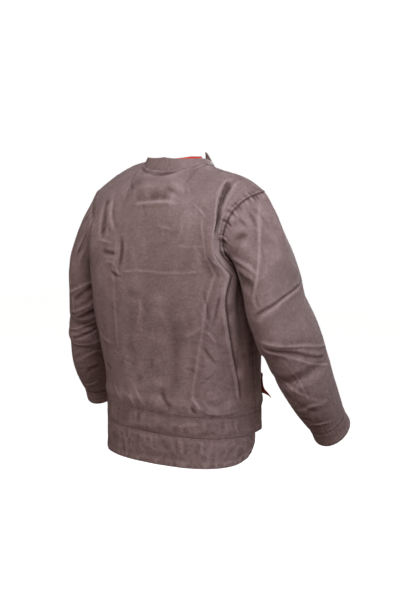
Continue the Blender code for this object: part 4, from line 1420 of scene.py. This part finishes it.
def paper(name):
    material, tree, shader = new_material(name)
    preset(shader, {"Base Color": PAPER_GREY, "Roughness": PAPER_ROUGH})
    preset(shader, {"Emission Color": WHITE, "Emission Strength": PAPER_GLOW})
    return material


def add_stage():
    deselect()
    bpy.ops.mesh.primitive_plane_add(size=STAGE_SIZE, location=(0, 0, -FLOOR_DROP))
    floor = bpy.context.object
    floor.name = "studio_floor"
    floor.data.materials.append(paper("white_paper"))
    floor.visible_diffuse = False
    floor.visible_glossy = False
    world = bpy.context.scene.world or bpy.data.worlds.new("studio")
    bpy.context.scene.world = world
    world.use_nodes = True
    tree = world.node_tree
    tree.nodes.clear()
    output = tree.nodes.new("ShaderNodeOutputWorld")
    mixer = tree.nodes.new("ShaderNodeMixShader")
    seen = tree.nodes.new("ShaderNodeLightPath")
    tree.links.new(seen.outputs["Is Camera Ray"], mixer.inputs["Fac"])
    for socket, colour, strength in ((1, SHADE_COLOUR, SHADE_LIGHT), (2, WHITE, 1.0)):
        light = tree.nodes.new("ShaderNodeBackground")
        preset(light, {"Color": colour, "Strength": strength})
        tree.links.new(light.outputs[0], mixer.inputs[socket])
    tree.links.new(mixer.outputs[0], output.inputs["Surface"])


Finish = namedtuple("Finish", "material slot")


def piece(name, cloth, turn, finish, nodes, hangs_from, **more):
    """Lay a piece of cloth, hide the model's nodes that it stands for, and hang it from the root."""
    thing = lay_cloth(name, cloth, turn, finish.material, **more)
    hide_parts(*nodes)
    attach(thing, "root")


def stitched(cloth, edge, distances=STITCH_ROWS, beyond=0.0):
    """Rows of stitches beside an edge, beyond this distance from the middle of the jacket."""
    rows = []
    for distance in distances:
        places = stitch_places(cloth, edge, distance)
        kept = np.abs(places[0][:, 0]) >= beyond
        rows.append([values[kept] for values in places])
    return rows


def add_back(finish):
    edges = {"foot": UNDER_SOFT, "top": OVER_FAINT, "start": OVER, "end": OVER}
    back = body_cloth(True, -1, 1, edges)
    piece("back", back, -1, finish, ["back_panel"], ["front_right", "front_left"])
    beside_collar = NECK_HALF + STITCH_FROM_COLLAR
    return stitched(back, "start") + stitched(back, "end") + stitched(back, "top", beyond=beside_collar)


def add_front(side, name, finish):
    """One half of the front and its part of the waistband."""
    low, high = min(side, 0), max(side, 0)
    seam, centre = ("start", "end") if side < 0 else ("end", "start")
    edges = {"foot": UNDER_SOFT, "top": UNDER_SOFT, seam: UNDER, centre: PLAIN}
    front = body_cloth(False, low, high, edges)
    piece(f"front_{name}", front, 1, finish, [f"front_panel_{name}"], ["back"])
    edges = {"foot": HEM, "top": OVER_SOFT, seam: UNDER_SOFT, centre: PLAIN}
    band = dressed(band_points(False, low, high, band_drops()), 1, edges, FRONT_BAND_WEAR_AND_SHADE)
    piece(f"waistband_{name}", band, 1, finish, [f"band_{name}"], [f"front_{name}"])
    return stitched(band, "top") + stitched(band, "foot", (HEM_WIDTH,))


def add_sleeve(side, name, finish):
    """A sleeve and its cuff."""
    nodes = [f"sleeve_{part}_{name}" for part in ("upper", "elbow", "lower")]
    hangs_from = ["back", f"front_{name}"]
    sleeve = f"sleeve_{name}_cloth"
    piece(sleeve, sleeve_cloth(side), -side, finish, nodes, hangs_from, ring=True)
    cuff = cuff_cloth(side)
    nodes = [f"cuff_{name}"]
    piece(f"cuff_{name}_cloth", cuff, -side, finish, nodes, [sleeve], ring=True, wall=CUFF_CLOTH)
    return stitched(cuff, "foot") + stitched(cuff, "top", (EDGE_STITCH,))


def add_tail(finish):
    """The waistband's back part and the tail below it."""
    edges = {"foot": OVER_FAINT, "top": OVER_SOFT, "start": OVER_SOFT, "end": OVER_SOFT}
    band = dressed(band_points(True, -1, 1, band_drops()), -1, edges, BACK_BAND_WEAR_AND_SHADE)
    piece("waistband_back", band, -1, finish, ["band_back"], ["back"])
    share = 1 - crowded(TAIL_ROWS, start=True, end=True)[:, None]
    points = band_points(True, -1, 1, BAND_HEIGHT + tail_height(columns(-1, 1)[None, :]) * share)
    edges = {"foot": HEM, "top": UNDER_FAINT, "start": HEM, "end": HEM}
    tail = dressed(points, -1, edges, TAIL_WEAR_AND_SHADE)
    piece("tail_cloth", tail, -1, finish, ["tail"], ["waistband_back"])
    return stitched(band, "top") + stitched(band, "foot") + stitched(tail, "foot", (HEM_WIDTH,))


def add_collar(outer, inner):
    """The collar in its outer finish and the facing in its inner one."""
    points = collar_points(crowded(COLLAR_ROWS, start=True, end=True))[:, COLLAR_SHORT_RIGHT:]
    collar = dressed(points, -1, {"foot": PLAIN, "top": PLAIN}, COLLAR_WEAR)
    piece("collar_cloth", collar, -1, outer, ["collar"], ["back", "front_right", "front_left"])
    nodes = ["collar_facing"]
    piece("collar_lining", facing_cloth(), -1, inner, nodes, ["collar_cloth"], wall=FACING_CLOTH)


def add_placket(finish):
    placket = placket_cloth()
    piece("placket_cloth", placket, 1, finish, ["placket"], ["front_right", "front_left"])
    return stitched(placket, "start", (EDGE_STITCH,)) + stitched(placket, "end", (EDGE_STITCH,))


def main():
    bpy.context.scene.view_settings.view_transform = "Standard"
    add_camera()
    add_stage()
    add_lamps()
    taupe = Finish(cotton("taupe_canvas", TAUPE), "taupe_cotton")
    red = Finish(cotton("red_canvas", RED), "red_cotton")
    rows = add_back(taupe)
    for side, name in ((-1, "right"), (1, "left")):
        rows += add_front(side, name, taupe)
        rows += add_sleeve(side, name, taupe)
        flap_nodes = [f"pocket_flap_{name}"]
        piece(f"flap_{name}", flap_cloth(side), 1, red, flap_nodes, [f"front_{name}"])
    rows += add_tail(taupe)
    add_collar(taupe, red)
    rows += add_placket(taupe)
    stitches = sew("stitches", rows, sewing_thread("taupe_thread", THREAD))
    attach(stitches, "root")


main()
